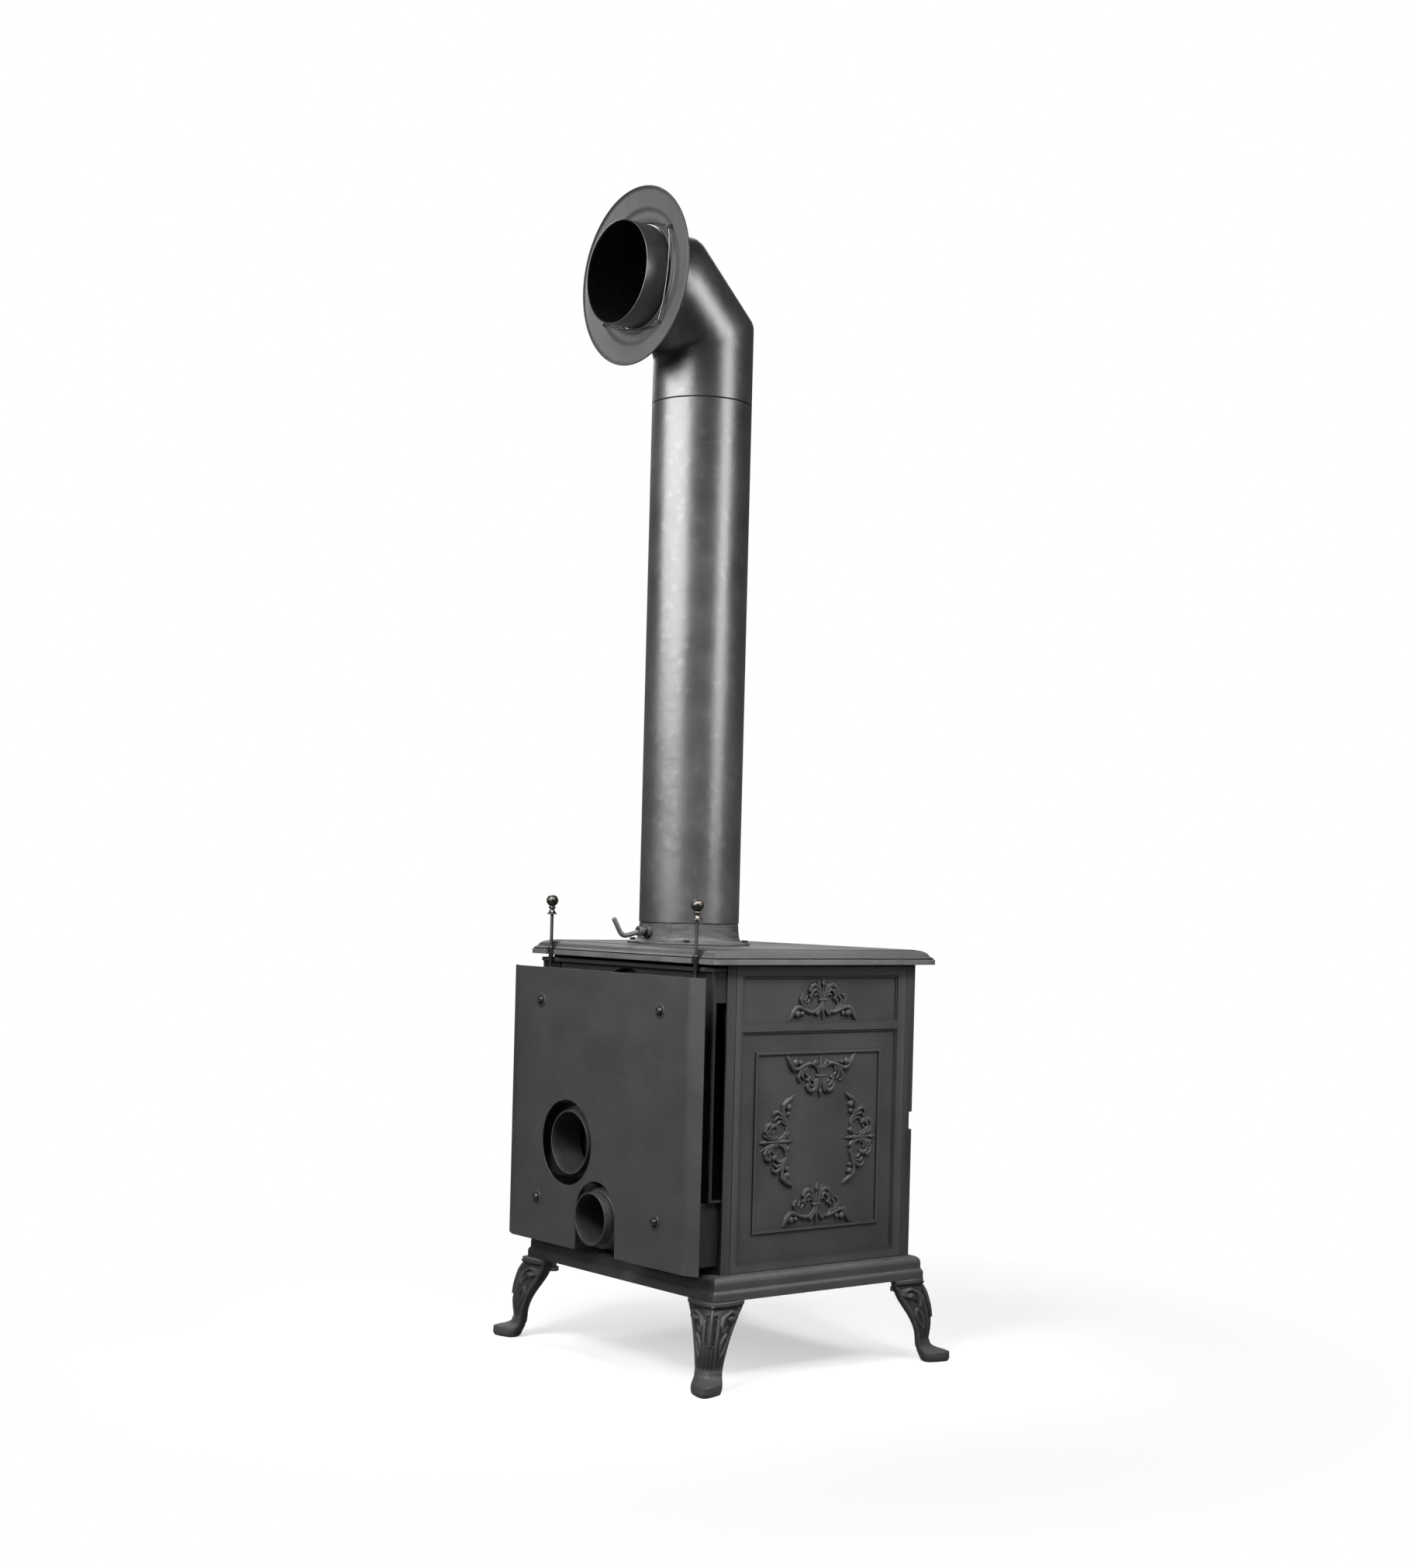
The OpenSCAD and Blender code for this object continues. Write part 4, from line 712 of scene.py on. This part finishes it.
# the spring's turns are the waves of its profile
coil_turns = [(6.3 + 1.5*math.sin(math.pi*k/4)**2, 0.2 + 10.6*k/24) for k in range(25)]
coil_profile = np.concatenate([[(4.2, 0)], coil_turns, [(4.2, 11), (4.2, 0)]])
coil_mesh = turned("damper_spring", coil_profile, (0, 156.2, damper_z), "Y", 48)
add_piece("damper_spring", coil_mesh, "damper", black_steel, "blackened_steel")
nut_profile = eased([(4.05, 0), (6.2, 0), (6.2, 6.5), (7.6, 6.8), (7.6, 8.6), (4.05, 8.8), (4.05, 0)], 0.6, 3)
nut_mesh = turned("damper_nut", nut_profile, (0, 167.4, damper_z), "Y", 48)
add_piece("damper_nut", nut_mesh, "damper", handle_steel, "blackened_steel")
black_iron = cast_iron("black_stove_iron")
rounded_copy("damper_disc", 0.0006, "damper", black_iron, "cast_iron")
rounded_copy("damper_screws", 0.0004, "damper", fixing_steel, "fixing_steel")

# ---- Flue pipe and elbow ----
# A straight length of rolled steel pipe and a three-part welded elbow, both sprayed with satin
# stove paint. The elbow's lower end is drawn in and slides inside the pipe; a fine dark joint shows.


def stove_paint(name, dark, light, roughness, metal=0.0, fleck=1.0):
    """Satin stove paint on sheet steel: a fine pebbled skin, slow patches from spraying and a few rubs."""
    material, place, shader = new_finish(name)
    spray = cloud(place, 0.06, 3.0)
    skin = cloud(place, 0.0016, 3.0)
    rub = cloud(place, 0.016, 6.0)
    colour = spray.spread(0.3, 0.7).blend((dark, dark*0.985, dark), (light, light*0.985, light))
    colour = (rub.spread(0.56, 0.74)*0.22*fleck).blend(colour, (light*1.6, light*1.58, light*1.58))
    rough = spray.spread(0.3, 0.7, roughness - 0.03, roughness + 0.03) + rub.spread(0.6, 0.8, 0.0, 0.05)
    fill(shader, Base_Color=colour, Metallic=metal, Roughness=rough,
         Normal=relief(rub, 0.00035, relief(skin, 0.00005)))
    return material


pipe_paint = stove_paint("flue_paint", 0.142, 0.184, 0.36, metal=0.85, fleck=1.6)
pipe_low, pipe_high, pipe_radius, pipe_inside = 646.2, 1420.6, 75, 73.5
pipe_profile = eased([
    (74.25, pipe_low), (pipe_radius, pipe_low), (pipe_radius, pipe_high), (74.25, pipe_high),
    (pipe_inside, pipe_high), (pipe_inside, pipe_low), (74.25, pipe_low)], 0.45, 3)
pipe_mesh = turned("flue_pipe", pipe_profile, (0, flue_y, 0), sides=192)
add_piece("flue_pipe_sheet", pipe_mesh, "stove", pipe_paint, "stove_sheet", "flue_pipe")
# height of the elbow's level end, and how far each mitre lies from where the two axes would meet
elbow_z, mitre = 1593, 71


def elbow_walls(radius, low, out, cut):
    """Lines along the elbow, one for each angle round it: straight runs that meet on the two mitre planes,
    with each corner eased by cut. Rows go along the elbow, columns round it."""
    angle = np.linspace(0, 2*np.pi, 192, endpoint=False)
    x, across = radius*np.cos(angle), radius*np.sin(angle)
    tilt = math.tan(math.radians(22.5))
    start = np.stack([x, flue_y + across, low + 0*x], axis=-1)
    first = np.stack([x, flue_y + across, elbow_z - mitre - across*tilt], axis=-1)
    last = np.stack([x, flue_y + mitre + across*tilt, elbow_z - across], axis=-1)
    end = np.stack([x, out + 0*x, elbow_z - across], axis=-1)
    t = np.linspace(0, 1, 9)[:, None, None]
    rows = [start[None], start[None] + [0, 0, 0.8]]
    for before, corner, after in ((start, first, last), (first, last, end)):
        into, onward = corner - before, after - corner
        into /= np.linalg.norm(into, axis=-1, keepdims=True)
        onward /= np.linalg.norm(onward, axis=-1, keepdims=True)
        a, b = corner - cut*into, corner + cut*onward
        rows.append((1 - t)**2*a + 2*t*(1 - t)*corner + t*t*b)
    rows += [end[None] - [0, 0.8, 0], end[None]]
    return np.concatenate(rows)


elbow_out_wall = elbow_walls(pipe_radius, 1422.0, 245.6, 9)
elbow_in_wall = elbow_walls(pipe_inside, 1422.0, 245.6, 9)
elbow_lip = elbow_out_wall[-1]*0.5 + elbow_in_wall[-1]*0.5 + [0, 0.5, 0]
elbow_foot = elbow_out_wall[0]*0.5 + elbow_in_wall[0]*0.5 - [0, 0, 0.3]
elbow_rows = np.concatenate([
    elbow_foot[None], elbow_out_wall, elbow_lip[None], elbow_in_wall[::-1], elbow_foot[None]])
elbow_mesh = closed_skin("flue_elbow", elbow_rows/1000)
add_piece("flue_elbow_sheet", elbow_mesh, "stove", pipe_paint, "stove_sheet", "flue_elbow")


def soot(name):
    """Soot on the inside of the flue: dead black with a faint brown bloom."""
    material, place, shader = new_finish(name)
    bloom = cloud(place, 0.02, 4.0)
    colour = bloom.spread(0.35, 0.75).blend((0.003, 0.003, 0.003), (0.008, 0.007, 0.006))
    fill(shader, Base_Color=colour, Specular_IOR_Level=0.12, Roughness=bloom.spread(0.3, 0.7, 0.75, 0.9),
         Normal=relief(bloom, 0.0004))
    return material


soot_black = soot("flue_soot")
swage_profile = eased([
    (73.2, 1424), (73.2, 1382), (72.2, 1381), (71.7, 1382), (71.7, 1424), (73.2, 1424)], 0.5, 3)
swage_mesh = turned("elbow_swage", swage_profile, (0, flue_y, 0), sides=144)
add_piece("elbow_swage", swage_mesh, "stove", soot_black, "stove_sheet")
lining_out, lining_in = elbow_walls(73.46, 1424, 243.5, 9), elbow_walls(73.0, 1424, 243.5, 9)
lining = np.concatenate([lining_out, lining_in[::-1], lining_out[:1]])
add_piece("elbow_soot", closed_skin("elbow_soot", lining/1000), "stove", soot_black, "stove_sheet")

# ---- Wall rosette and spring ----
# A spun steel cover ring that hides the hole in the wall. It slides on the elbow and is held by a
# bright spring wire, bowed against the pipe between four small pierced lugs.

# Painted light: this paint is made paler than the shield's, for the light that falls on the rosette.
rosette_paint_painted_light = stove_paint("rosette_paint_painted_light", 0.078, 0.092, 0.38)
rosette_back_face = [
    (129.9, -1.2), (128.9, 0.3), (127.5, 0.2), (126.9, -1.9), (124.5, -3.6), (112, -5.0), (101.5, -6.2),
    (98.6, -7.2), (96.3, -9.8), (93.0, -11.3), (86.5, -11.7), (83.0, -11.0), (80.4, -8.2), (77.6, -7.6),
    (75.9, -9.4)]
rosette_front_face = [
    (75.8, -10.6), (78.8, -11.2), (82.2, -12.8), (86.0, -13.2), (94.5, -12.7), (97.8, -11.4),
    (99.9, -8.8), (102.5, -7.6), (112.5, -6.5), (125.5, -4.8), (128.4, -3.4), (129.8, -2.4)]
rosette_profile = eased(rosette_back_face + rosette_front_face, 1.2, 4, closed=True)
rosette_profile = np.concatenate([rosette_profile, rosette_profile[:1]])
rosette_mesh = turned("wall_rosette", rosette_profile, (0, 214, elbow_z), "Y", 192)
add_piece("wall_rosette_sheet", rosette_mesh, "stove", rosette_paint_painted_light, "stove_sheet", "wall_rosette")


def bright_wire(name):
    """Drawn spring wire: bright, smooth metal with a very fine grain and some duller spots."""
    material, place, shader = new_finish(name)
    dull = cloud(place, 0.004, 3.0)
    colour = dull.spread(0.3, 0.7).blend((0.22, 0.22, 0.225), (0.36, 0.36, 0.365))
    fill(shader, Base_Color=colour, Metallic=1.0, Roughness=dull.spread(0.3, 0.7, 0.26, 0.38),
         Normal=relief(cloud(place, 0.0007, 2.0), 0.00002))
    return material


spring_metal = bright_wire("spring_wire")
for k, lug_angle in enumerate(np.radians([36, 126, 216, 306])):
    share = np.linspace(0, 1, 33)
    swing = -lug_angle - share*np.pi/2
    reach = 95 - 18.6*np.sin(np.pi*share)**0.85
    wire_path = np.stack([reach*np.cos(swing), 210 + 0*share, elbow_z + reach*np.sin(swing)], axis=-1)
    wire_name = f"rosette_spring_{k + 1}"
    wire_nodes = ["rosette_spring"] if k == 0 else []
    wire_mesh = tube(wire_name, wire_path, 0.95, 14)
    add_piece(wire_name, wire_mesh, "stove", spring_metal, "spring_steel", *wire_nodes)
    out_way = np.array([math.cos(-lug_angle), 0, math.sin(-lug_angle)])
    centre = np.array([0, 209.2, elbow_z]) + 95*out_way
    loop = np.array([centre + 4.4*out_way, centre + [0, 4.4, 0], centre - 4.4*out_way, centre - [0, 4.4, 0]])
    loop = eased(loop, 1.2, 4, closed=True)
    loop = np.concatenate([loop, loop[:2]])
    lug_name = f"spring_lug_{k + 1}"
    add_piece(lug_name, tube(lug_name, loop, 1.1, 10), "stove", spring_metal, "spring_steel")

# ---- Heat shield ----
# A sheet of painted steel that stands off behind the stove, with a strip bent in at each side and
# holes for the air spigots. Four black screws with dished washers hold it on spacers.

shield_paint = stove_paint("shield_paint", 0.030, 0.040, 0.46, fleck=1.4)
shield_half, shield_y, strip_width, bend = 212, 242.75, 25, math.radians(24)
strip_end = np.array([shield_half + strip_width*math.cos(bend), shield_y - strip_width*math.sin(bend)])
middle_line = eased([(-strip_end[0], strip_end[1]), (-shield_half, shield_y), (shield_half, shield_y),
                     tuple(strip_end)], 5, 8)
line_way = np.gradient(middle_line, axis=0)
line_way /= np.linalg.norm(line_way, axis=-1, keepdims=True)
line_out = np.stack([-line_way[:, 1], line_way[:, 0]], axis=-1)
# the sheet is 1.5 mm thick, and stands from 162 to 574 mm
around = np.concatenate([middle_line + 0.75*line_out, (middle_line - 0.75*line_out)[::-1]])
shield_walls = np.stack([np.concatenate([around, np.full((len(around), 1), z)], axis=1) for z in (162, 574)])
screw_places = [(x, z) for x in (-147, 147) for z in (227, 524)]


def shield_solid():
    """The sheet as a closed solid: its bent outline lifted from foot to top, closed by strips of quads."""
    n = len(around)
    faces = [(i, (i + 1) % n, n + (i + 1) % n, n + i) for i in range(n)]
    faces += [(i + 1, i, n - 1 - i, n - 2 - i) for i in range(n//2 - 1)]
    faces += [(n + i, n + i + 1, 2*n - 2 - i, 2*n - 1 - i) for i in range(n//2 - 1)]
    mesh = bpy.data.meshes.new("heat_shield")
    mesh.from_pydata(shield_walls.reshape(-1, 3)/1000, [], faces)
    b = bmesh.new()
    b.from_mesh(mesh)
    bmesh.ops.recalc_face_normals(b, faces=b.faces)
    b.to_mesh(mesh)
    b.free()
    return mesh


shield_mesh = cut_away(shield_solid(), [
    round_shape([74, 243, 316.5], "Y", 30, 63, 160),
    round_shape([-3, 243, 218], "Y", 30, 49, 160),
    box_shape([-52, 230, 150], [46, 256, 218])] + [
    round_shape([x, 243, z], "Y", 30, 3.3, 32) for x, z in screw_places])
shield = add_piece("heat_shield_sheet", shield_mesh, "stove", shield_paint, "stove_sheet", "heat_shield")
soften(shield, 0.00025, angle=55)


def black_plate(name, roughness=0.3):
    """Black plated screw steel: very dark, soft gloss, with a few rubbed specks."""
    material, place, shader = new_finish(name)
    speck = cloud(place, 0.0022, 3.0)
    colour = speck.spread(0.55, 0.8).blend((0.012, 0.012, 0.013), (0.07, 0.07, 0.07))
    fill(shader, Base_Color=colour, Metallic=0.35,
         Roughness=speck.spread(0.3, 0.7, roughness - 0.06, roughness + 0.08),
         Normal=relief(cloud(place, 0.001, 2.0), 0.00003))
    return material


screw_black = black_plate("screw_black")
washer_paint = stove_paint("washer_paint", 0.03, 0.04, 0.34)
washer_profile = eased([
    (3.3, 243.5), (10, 243.5), (10.2, 244.6), (9.3, 245.0), (6.2, 244.5), (3.3, 244.6), (3.3, 243.5)], 0.5, 4)
screw_profile = eased([
    (0, 243.8), (3, 243.8), (3, 244.7), (6.4, 244.7), (6.4, 246.6), (5.2, 249.0), (3.0, 250.3),
    (1.9, 250.4), (1.7, 248.8), (0, 248.7)], 1.1, 5)
for k, (screw_x, screw_z) in enumerate(screw_places):
    for part, part_profile, part_sides, part_finish in (
            ("shield_washer", washer_profile, 64, washer_paint),
            ("shield_screw", screw_profile, 48, screw_black)):
        part_name = f"{part}_{k + 1}"
        part_mesh = turned(part_name, part_profile, (screw_x, 0, screw_z), "Y", part_sides)
        part_nodes = [part + "s"] if k == 0 else []
        add_piece(part_name, part_mesh, "stove", part_finish, "dark_nickel", *part_nodes)
rounded_copy("shield_spacers", 0.0004, "stove", fixing_steel, "fixing_steel")

# ---- Air chests and spigots ----
# Two iron boxes bolted behind the stove lead outside air to the gates. Each ends in a round spigot;
# the upper one stands inside the hole in the shield, the lower one in the notch in the shield's foot.

# Painted shade: these boxes are made nearly black, for the shade they stand in behind the stove.
chest_iron_painted_shade = cast_iron("chest_iron_painted_shade", dark=0.004, light=0.008, shine=0.18, edge_wear_and_highlight=0.2)
for chest_node in ("upper_air_chest", "lower_air_chest"):
    rounded_copy(chest_node, 0.0010, "stove", chest_iron_painted_shade, "cast_iron")
spigot_iron = cast_iron("spigot_iron", dark=0.016, light=0.032, grain=1.5, roughness=0.5)
upper_profile = eased([
    (44.6, 186), (45.8, 186), (45.8, 222), (53.5, 222), (52.6, 226), (48.2, 226.6), (47.5, 227.6),
    (47.5, 238.5), (45, 238.5), (44.6, 186)], 0.7, 4)
lower_profile = eased([
    (35.6, 190), (36.8, 190), (36.8, 222), (44.5, 222), (44.5, 233), (43, 235), (39.6, 235.6),
    (38.5, 236.6), (38.5, 253), (36, 253), (35.6, 190)], 0.7, 4)
for spigot_node, spigot_profile, spigot_x, spigot_z in (
        ("upper_air_spigot", upper_profile, 74, 316.5), ("lower_air_spigot", lower_profile, -3, 213.5)):
    spigot_mesh = turned(spigot_node, spigot_profile, (spigot_x, 0, spigot_z), "Y", 128)
    add_piece(spigot_node + "_casting", spigot_mesh, "stove", spigot_iron, "cast_iron", spigot_node)

# ---- Pull rods, knobs and air gates ----
# Two thin steel rods rise through notches in the top plate. Each lifts an air gate, and ends above in
# a turned, dark polished knob; a steel sleeve joins its two lengths.


def dark_polish(name):
    """Dark warm plating on a turned knob: half gloss metal whose tone changes a little over it."""
    material, place, shader = new_finish(name)
    tarnish = cloud(place, 0.004, 3.0)
    colour = tarnish.spread(0.3, 0.7).blend((0.062, 0.057, 0.051), (0.110, 0.102, 0.093))
    fill(shader, Base_Color=colour, Metallic=1.0, Roughness=tarnish.spread(0.3, 0.7, 0.30, 0.40),
         Normal=relief(cloud(place, 0.0012, 2.0), 0.00002))
    return material


knob_metal = dark_polish("dark_nickel_knob")
ball = np.linspace(-62, 90, 28)
knob_profile = np.concatenate([
    eased([(0, 0), (7.4, 0), (7.5, 1.0), (5.4, 3.0), (3.9, 6.0), (3.6, 8.6), (5.4, 9.6), (5.6, 10.8),
           (4.2, 12.2)], 0.8, 4),
    np.stack([9*np.cos(np.radians(ball)), 21 + 9*np.sin(np.radians(ball))], axis=-1)])
knob_profile[-1, 0] = 0
rod_y, knob_low = 207, 653
sleeve_profile = eased([(2.5, 577), (3.4, 577), (4, 602), (3.2, 604), (2.5, 604), (2.5, 577)], 0.3, 3)
for rod_side, rod_x in (("left", -179), ("right", 179)):
    body, rod_node = rod_side + "_air_control", rod_side + "_pull_rod"
    low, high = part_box(rod_node)
    rod = np.linspace(low.z*1000, high.z*1000, 3)
    rod_path = np.stack([rod_x + 0*rod, rod_y + 0*rod, rod], axis=-1)
    rod_mesh = tube(rod_side + "_rod", rod_path, 2.5, 24)
    add_piece(rod_side + "_rod", rod_mesh, body, black_steel, "blackened_steel", rod_node)
    sleeve_mesh = turned(rod_side + "_sleeve", sleeve_profile, (rod_x, rod_y, 0), "Z", 32)
    sleeve_node, knob_node = rod_side + "_rod_sleeve", rod_side + "_rod_knob"
    add_piece(rod_side + "_sleeve", sleeve_mesh, body, black_steel, "blackened_steel", sleeve_node)
    knob_mesh = turned(rod_side + "_knob", knob_profile, (rod_x, rod_y, knob_low), "Z", 64)
    add_piece(rod_side + "_knob", knob_mesh, body, knob_metal, "dark_nickel", knob_node)
    rounded_copy(rod_side + "_air_gate", 0.0004, body, black_steel, "blackened_steel")

# ---- Inside: bricks, baffle, grate ----
# Dry pressed fire bricks line the firebox. The iron baffle lies on them, and the grate lies in the
# shelf over the ash drawer, behind the log guard.


def fire_brick(name):
    """Dry pressed brick: pale sandy clay with grit, small holes and grey smoke marks."""
    material, place, shader = new_finish(name)
    grit = cloud(place, 0.0025, 4.0)
    smoke = cloud(place, 0.09, 4.0)
    clay = grit.spread(0.35, 0.65).blend((0.42, 0.33, 0.22), (0.62, 0.53, 0.40))
    colour = (smoke.spread(0.45, 0.7)*0.6).blend(clay, (0.16, 0.14, 0.12))
    fill(shader, Base_Color=colour, Roughness=grit.spread(0.3, 0.7, 0.85, 0.95), Normal=relief(grit, 0.0006))
    return material


brick_clay = fire_brick("pressed_brick")
for brick_node in ("left_fire_brick", "right_fire_brick", "rear_fire_brick"):
    rounded_copy(brick_node, 0.0018, "stove", brick_clay, "fire_brick")
for inner_node in ("baffle_plate", "grate_shelf", "grate", "log_guard"):
    rounded_copy(inner_node, 0.0007, "stove", painted_shade_iron, "cast_iron")

# ---- Door ----
# An iron frame on two hinge pins with a pane of ceramic glass, held from behind by four clips; a
# braided rope in a groove seals it.

rounded_copy("door_frame", 0.0009, "door", black_iron, "cast_iron", angle=40)
rounded_copy("hinge_pins", 0.0004, "stove", fixing_steel, "fixing_steel")
rounded_copy("glass_clips", 0.0003, "door", fixing_steel, "fixing_steel")


def pane_glass(name):
    """Ceramic glass with a smoke tint and a faint uneven film."""
    material, place, shader = new_finish(name)
    film = cloud(place, 0.05, 3.0)
    fill(shader, Base_Color=film.spread(0.3, 0.7).blend((0.018, 0.017, 0.016), (0.035, 0.033, 0.031)),
         Roughness=film.spread(0.3, 0.7, 0.03, 0.08), Alpha=film.spread(0.3, 0.7, 0.50, 0.60))
    return material


def rope(name):
    """Braided fibre rope: pale strands that lie on the slant."""
    material, place, shader = new_finish(name)
    strand = place.node("ShaderNodeTexWave", {"bands_direction": "DIAGONAL"},
                        {"Vector": place, "Scale": 260.0, "Distortion": 3.0})
    fill(shader, Base_Color=strand.blend((0.40, 0.39, 0.36), (0.62, 0.61, 0.58)),
         Roughness=strand.spread(0, 1, 0.8, 0.9), Normal=relief(strand, 0.0008))
    return material


rounded_copy("door_glass", 0.0004, "door", pane_glass("smoked_pane"), "ceramic_glass")
rounded_copy("door_seal", 0.0022, "door", rope("braided_seal"), "rope_seal")

# ---- Latch ----
# A steel spindle through the door with an iron cam inside and a turned lever outside. The three turn
# together, and the cam holds the door on its seal.

rounded_copy("latch_spindle", 0.0004, "latch", fixing_steel, "fixing_steel")
rounded_copy("latch_cam", 0.0008, "latch", black_iron, "cast_iron")
rounded_copy("latch_handle", 0.0009, "latch", knob_metal, "dark_nickel")

# ---- Ash drawer ----
# A thin iron pan that runs on two rails, with a cast front and a turned knob. It slides straight out
# of the front frame, under the door.

rounded_copy("ash_drawer", 0.0009, "ash_pan", black_iron, "cast_iron")
rounded_copy("drawer_knob", 0.0004, "ash_pan", knob_metal, "dark_nickel", angle=40)

# ---- Room: floor, light and camera ----
# A pale floor that fades to white, wide soft boxes beside the camera, smaller lights from above and
# one from behind, a dim white room round them, and the camera where the photograph was taken from.

floor_radius = np.array([0.0, 0.5, 1.0, 2.0, 4.0, 8.0, 16.0])
floor_turn = np.linspace(0, 2*np.pi, 96, endpoint=False)
floor_grid = np.stack([floor_radius[:, None]*np.cos(floor_turn), floor_radius[:, None]*np.sin(floor_turn),
                       0*floor_radius[:, None]*floor_turn - 0.0002], axis=-1)
floor_mesh = closed_skin("floor", floor_grid)
floor = bpy.data.objects.new("floor", floor_mesh)
bpy.context.scene.collection.objects.link(floor)
floor_paint, floor_place, floor_shader = new_finish("floor_white")
distance = floor_place.node("ShaderNodeVectorMath", {"operation": "LENGTH"}, {0: floor_place}, out="Value")
far = distance.spread(0.25, 1.1, 0.55, 1.0)
rays = floor_place.node("ShaderNodeLightPath", {}, {}, out="Is Camera Ray")
soft = cloud(floor_place, 0.4, 2.0)
pale = soft.spread(0.3, 0.7).blend((0.80, 0.80, 0.80), (0.83, 0.83, 0.83))
fill(floor_shader, Base_Color=rays.blend((0.18, 0.18, 0.18), pale), Roughness=0.9, Specular_IOR_Level=0.1)
white = floor_place.node("ShaderNodeEmission", {}, {"Color": (1, 1, 1, 1), "Strength": 1.0})
floor_tree = floor_paint.node_tree
lit = Tone(floor_tree, floor_shader.outputs[0])
seen = floor_place.node("ShaderNodeMixShader", {}, {0: far*rays, 1: lit, 2: white})
floor_tree.links.new(seen.socket, floor_tree.nodes["Material Output"].inputs["Surface"])
floor_mesh.materials.append(floor_paint)

world = bpy.data.worlds.new("white_room")
bpy.context.scene.world = world
world.use_nodes = True
room = Tone(world.node_tree, None)
camera_ray = room.node("ShaderNodeLightPath", {}, {}, out="Is Camera Ray")
glossy_ray = room.node("ShaderNodeLightPath", {}, {}, out="Is Glossy Ray")
clear_ray = room.node("ShaderNodeLightPath", {}, {}, out="Is Transmission Ray")
backdrop = world.node_tree.nodes["Background"]
backdrop.inputs["Color"].default_value = (1, 1, 1, 1)
glow = (camera_ray + glossy_ray*0.08 + clear_ray).spread(0, 1, 0.02, 1.0)
world.node_tree.links.new(glow.socket, backdrop.inputs["Strength"])

camera_side = math.atan2(2.138, -2.620)  # direction of the camera as the stove stands, from above


def soft_box(name, centre, target, width, height, strength, beam=180):
    """A flat light that faces a target. strength is the brightness of its face, where a white wall is 1,
    as long as the beam is 180 degrees wide: a narrower beam is brighter in its middle."""
    light = bpy.data.lights.new(name, "AREA")
    light.shape, light.size, light.size_y = "RECTANGLE", width, height
    light.energy, light.spread = strength*math.pi*width*height, math.radians(beam)
    thing = bpy.data.objects.new(name, light)
    bpy.context.scene.collection.objects.link(thing)
    thing.location = centre
    thing.rotation_euler = (Vector(target) - Vector(centre)).to_track_quat("-Z", "Y").to_euler()


def beside_camera(turn, distance, height):
    """A place at a turn in degrees to the left of the line from the stove to the camera."""
    angle = camera_side - math.radians(turn)
    return (distance*math.cos(angle), distance*math.sin(angle), height)


soft_box("left_soft_box", beside_camera(48, 2.5, 1.85), (0, 0.08, 1.3), 2.0, 1.5, 6.4)
soft_box("right_soft_box", beside_camera(-57, 2.5, 1.6), (0, 0.08, 1.2), 1.1, 1.4, 2.3, beam=120)
soft_box("right_near_box", (-1.35, -0.55, 1.75), (-0.1, 0, 1.1), 0.6, 0.8, 1.6)
soft_box("left_top_light", (-0.6, 1.6, 2.4), (-0.05, 0.2, 0.45), 0.7, 0.7, 3.2, beam=45)
soft_box("middle_top_light", (-1.5, 0.42, 2.25), (-0.22, 0.12, 0.62), 0.6, 0.6, 1.9, beam=30)
soft_box("right_top_light", (-1.15, -0.9, 2.2), (-0.22, 0.06, 0.52), 0.5, 0.5, 1.4, beam=30)
soft_box("rosette_light", beside_camera(78, 2.4, 1.9), (0, 0.2, 1.5), 0.8, 1.2, 0.5, beam=45)
soft_box("far_side_fill", beside_camera(165, 2.1, 2.6), (0, 0, 0.6), 2.0, 1.4, 2.4, beam=100)

camera_data = bpy.data.cameras.new("photo_camera")
camera_data.sensor_width, camera_data.lens, camera_data.shift_y = 36, 50.90, 0.0679
camera_data.clip_start, camera_data.clip_end = 0.05, 60
camera = bpy.data.objects.new("photo_camera", camera_data)
bpy.context.scene.collection.objects.link(camera)
look, level = Vector((0.782, -0.623, 0)).normalized(), Vector((-0.623, -0.782, 0)).normalized()
roll = 0.0254  # the photograph is turned by this much, in radians
right = math.cos(roll)*level + math.sin(roll)*Vector((0, 0, 1))
up = -math.sin(roll)*level + math.cos(roll)*Vector((0, 0, 1))
camera_place = Matrix.Translation((-2.6201, 2.1380, 0.6952))
camera.matrix_world = camera_place @ Matrix((right, up, -look)).transposed().to_4x4()
bpy.context.scene.camera = camera
bpy.context.scene.view_settings.view_transform = "Standard"
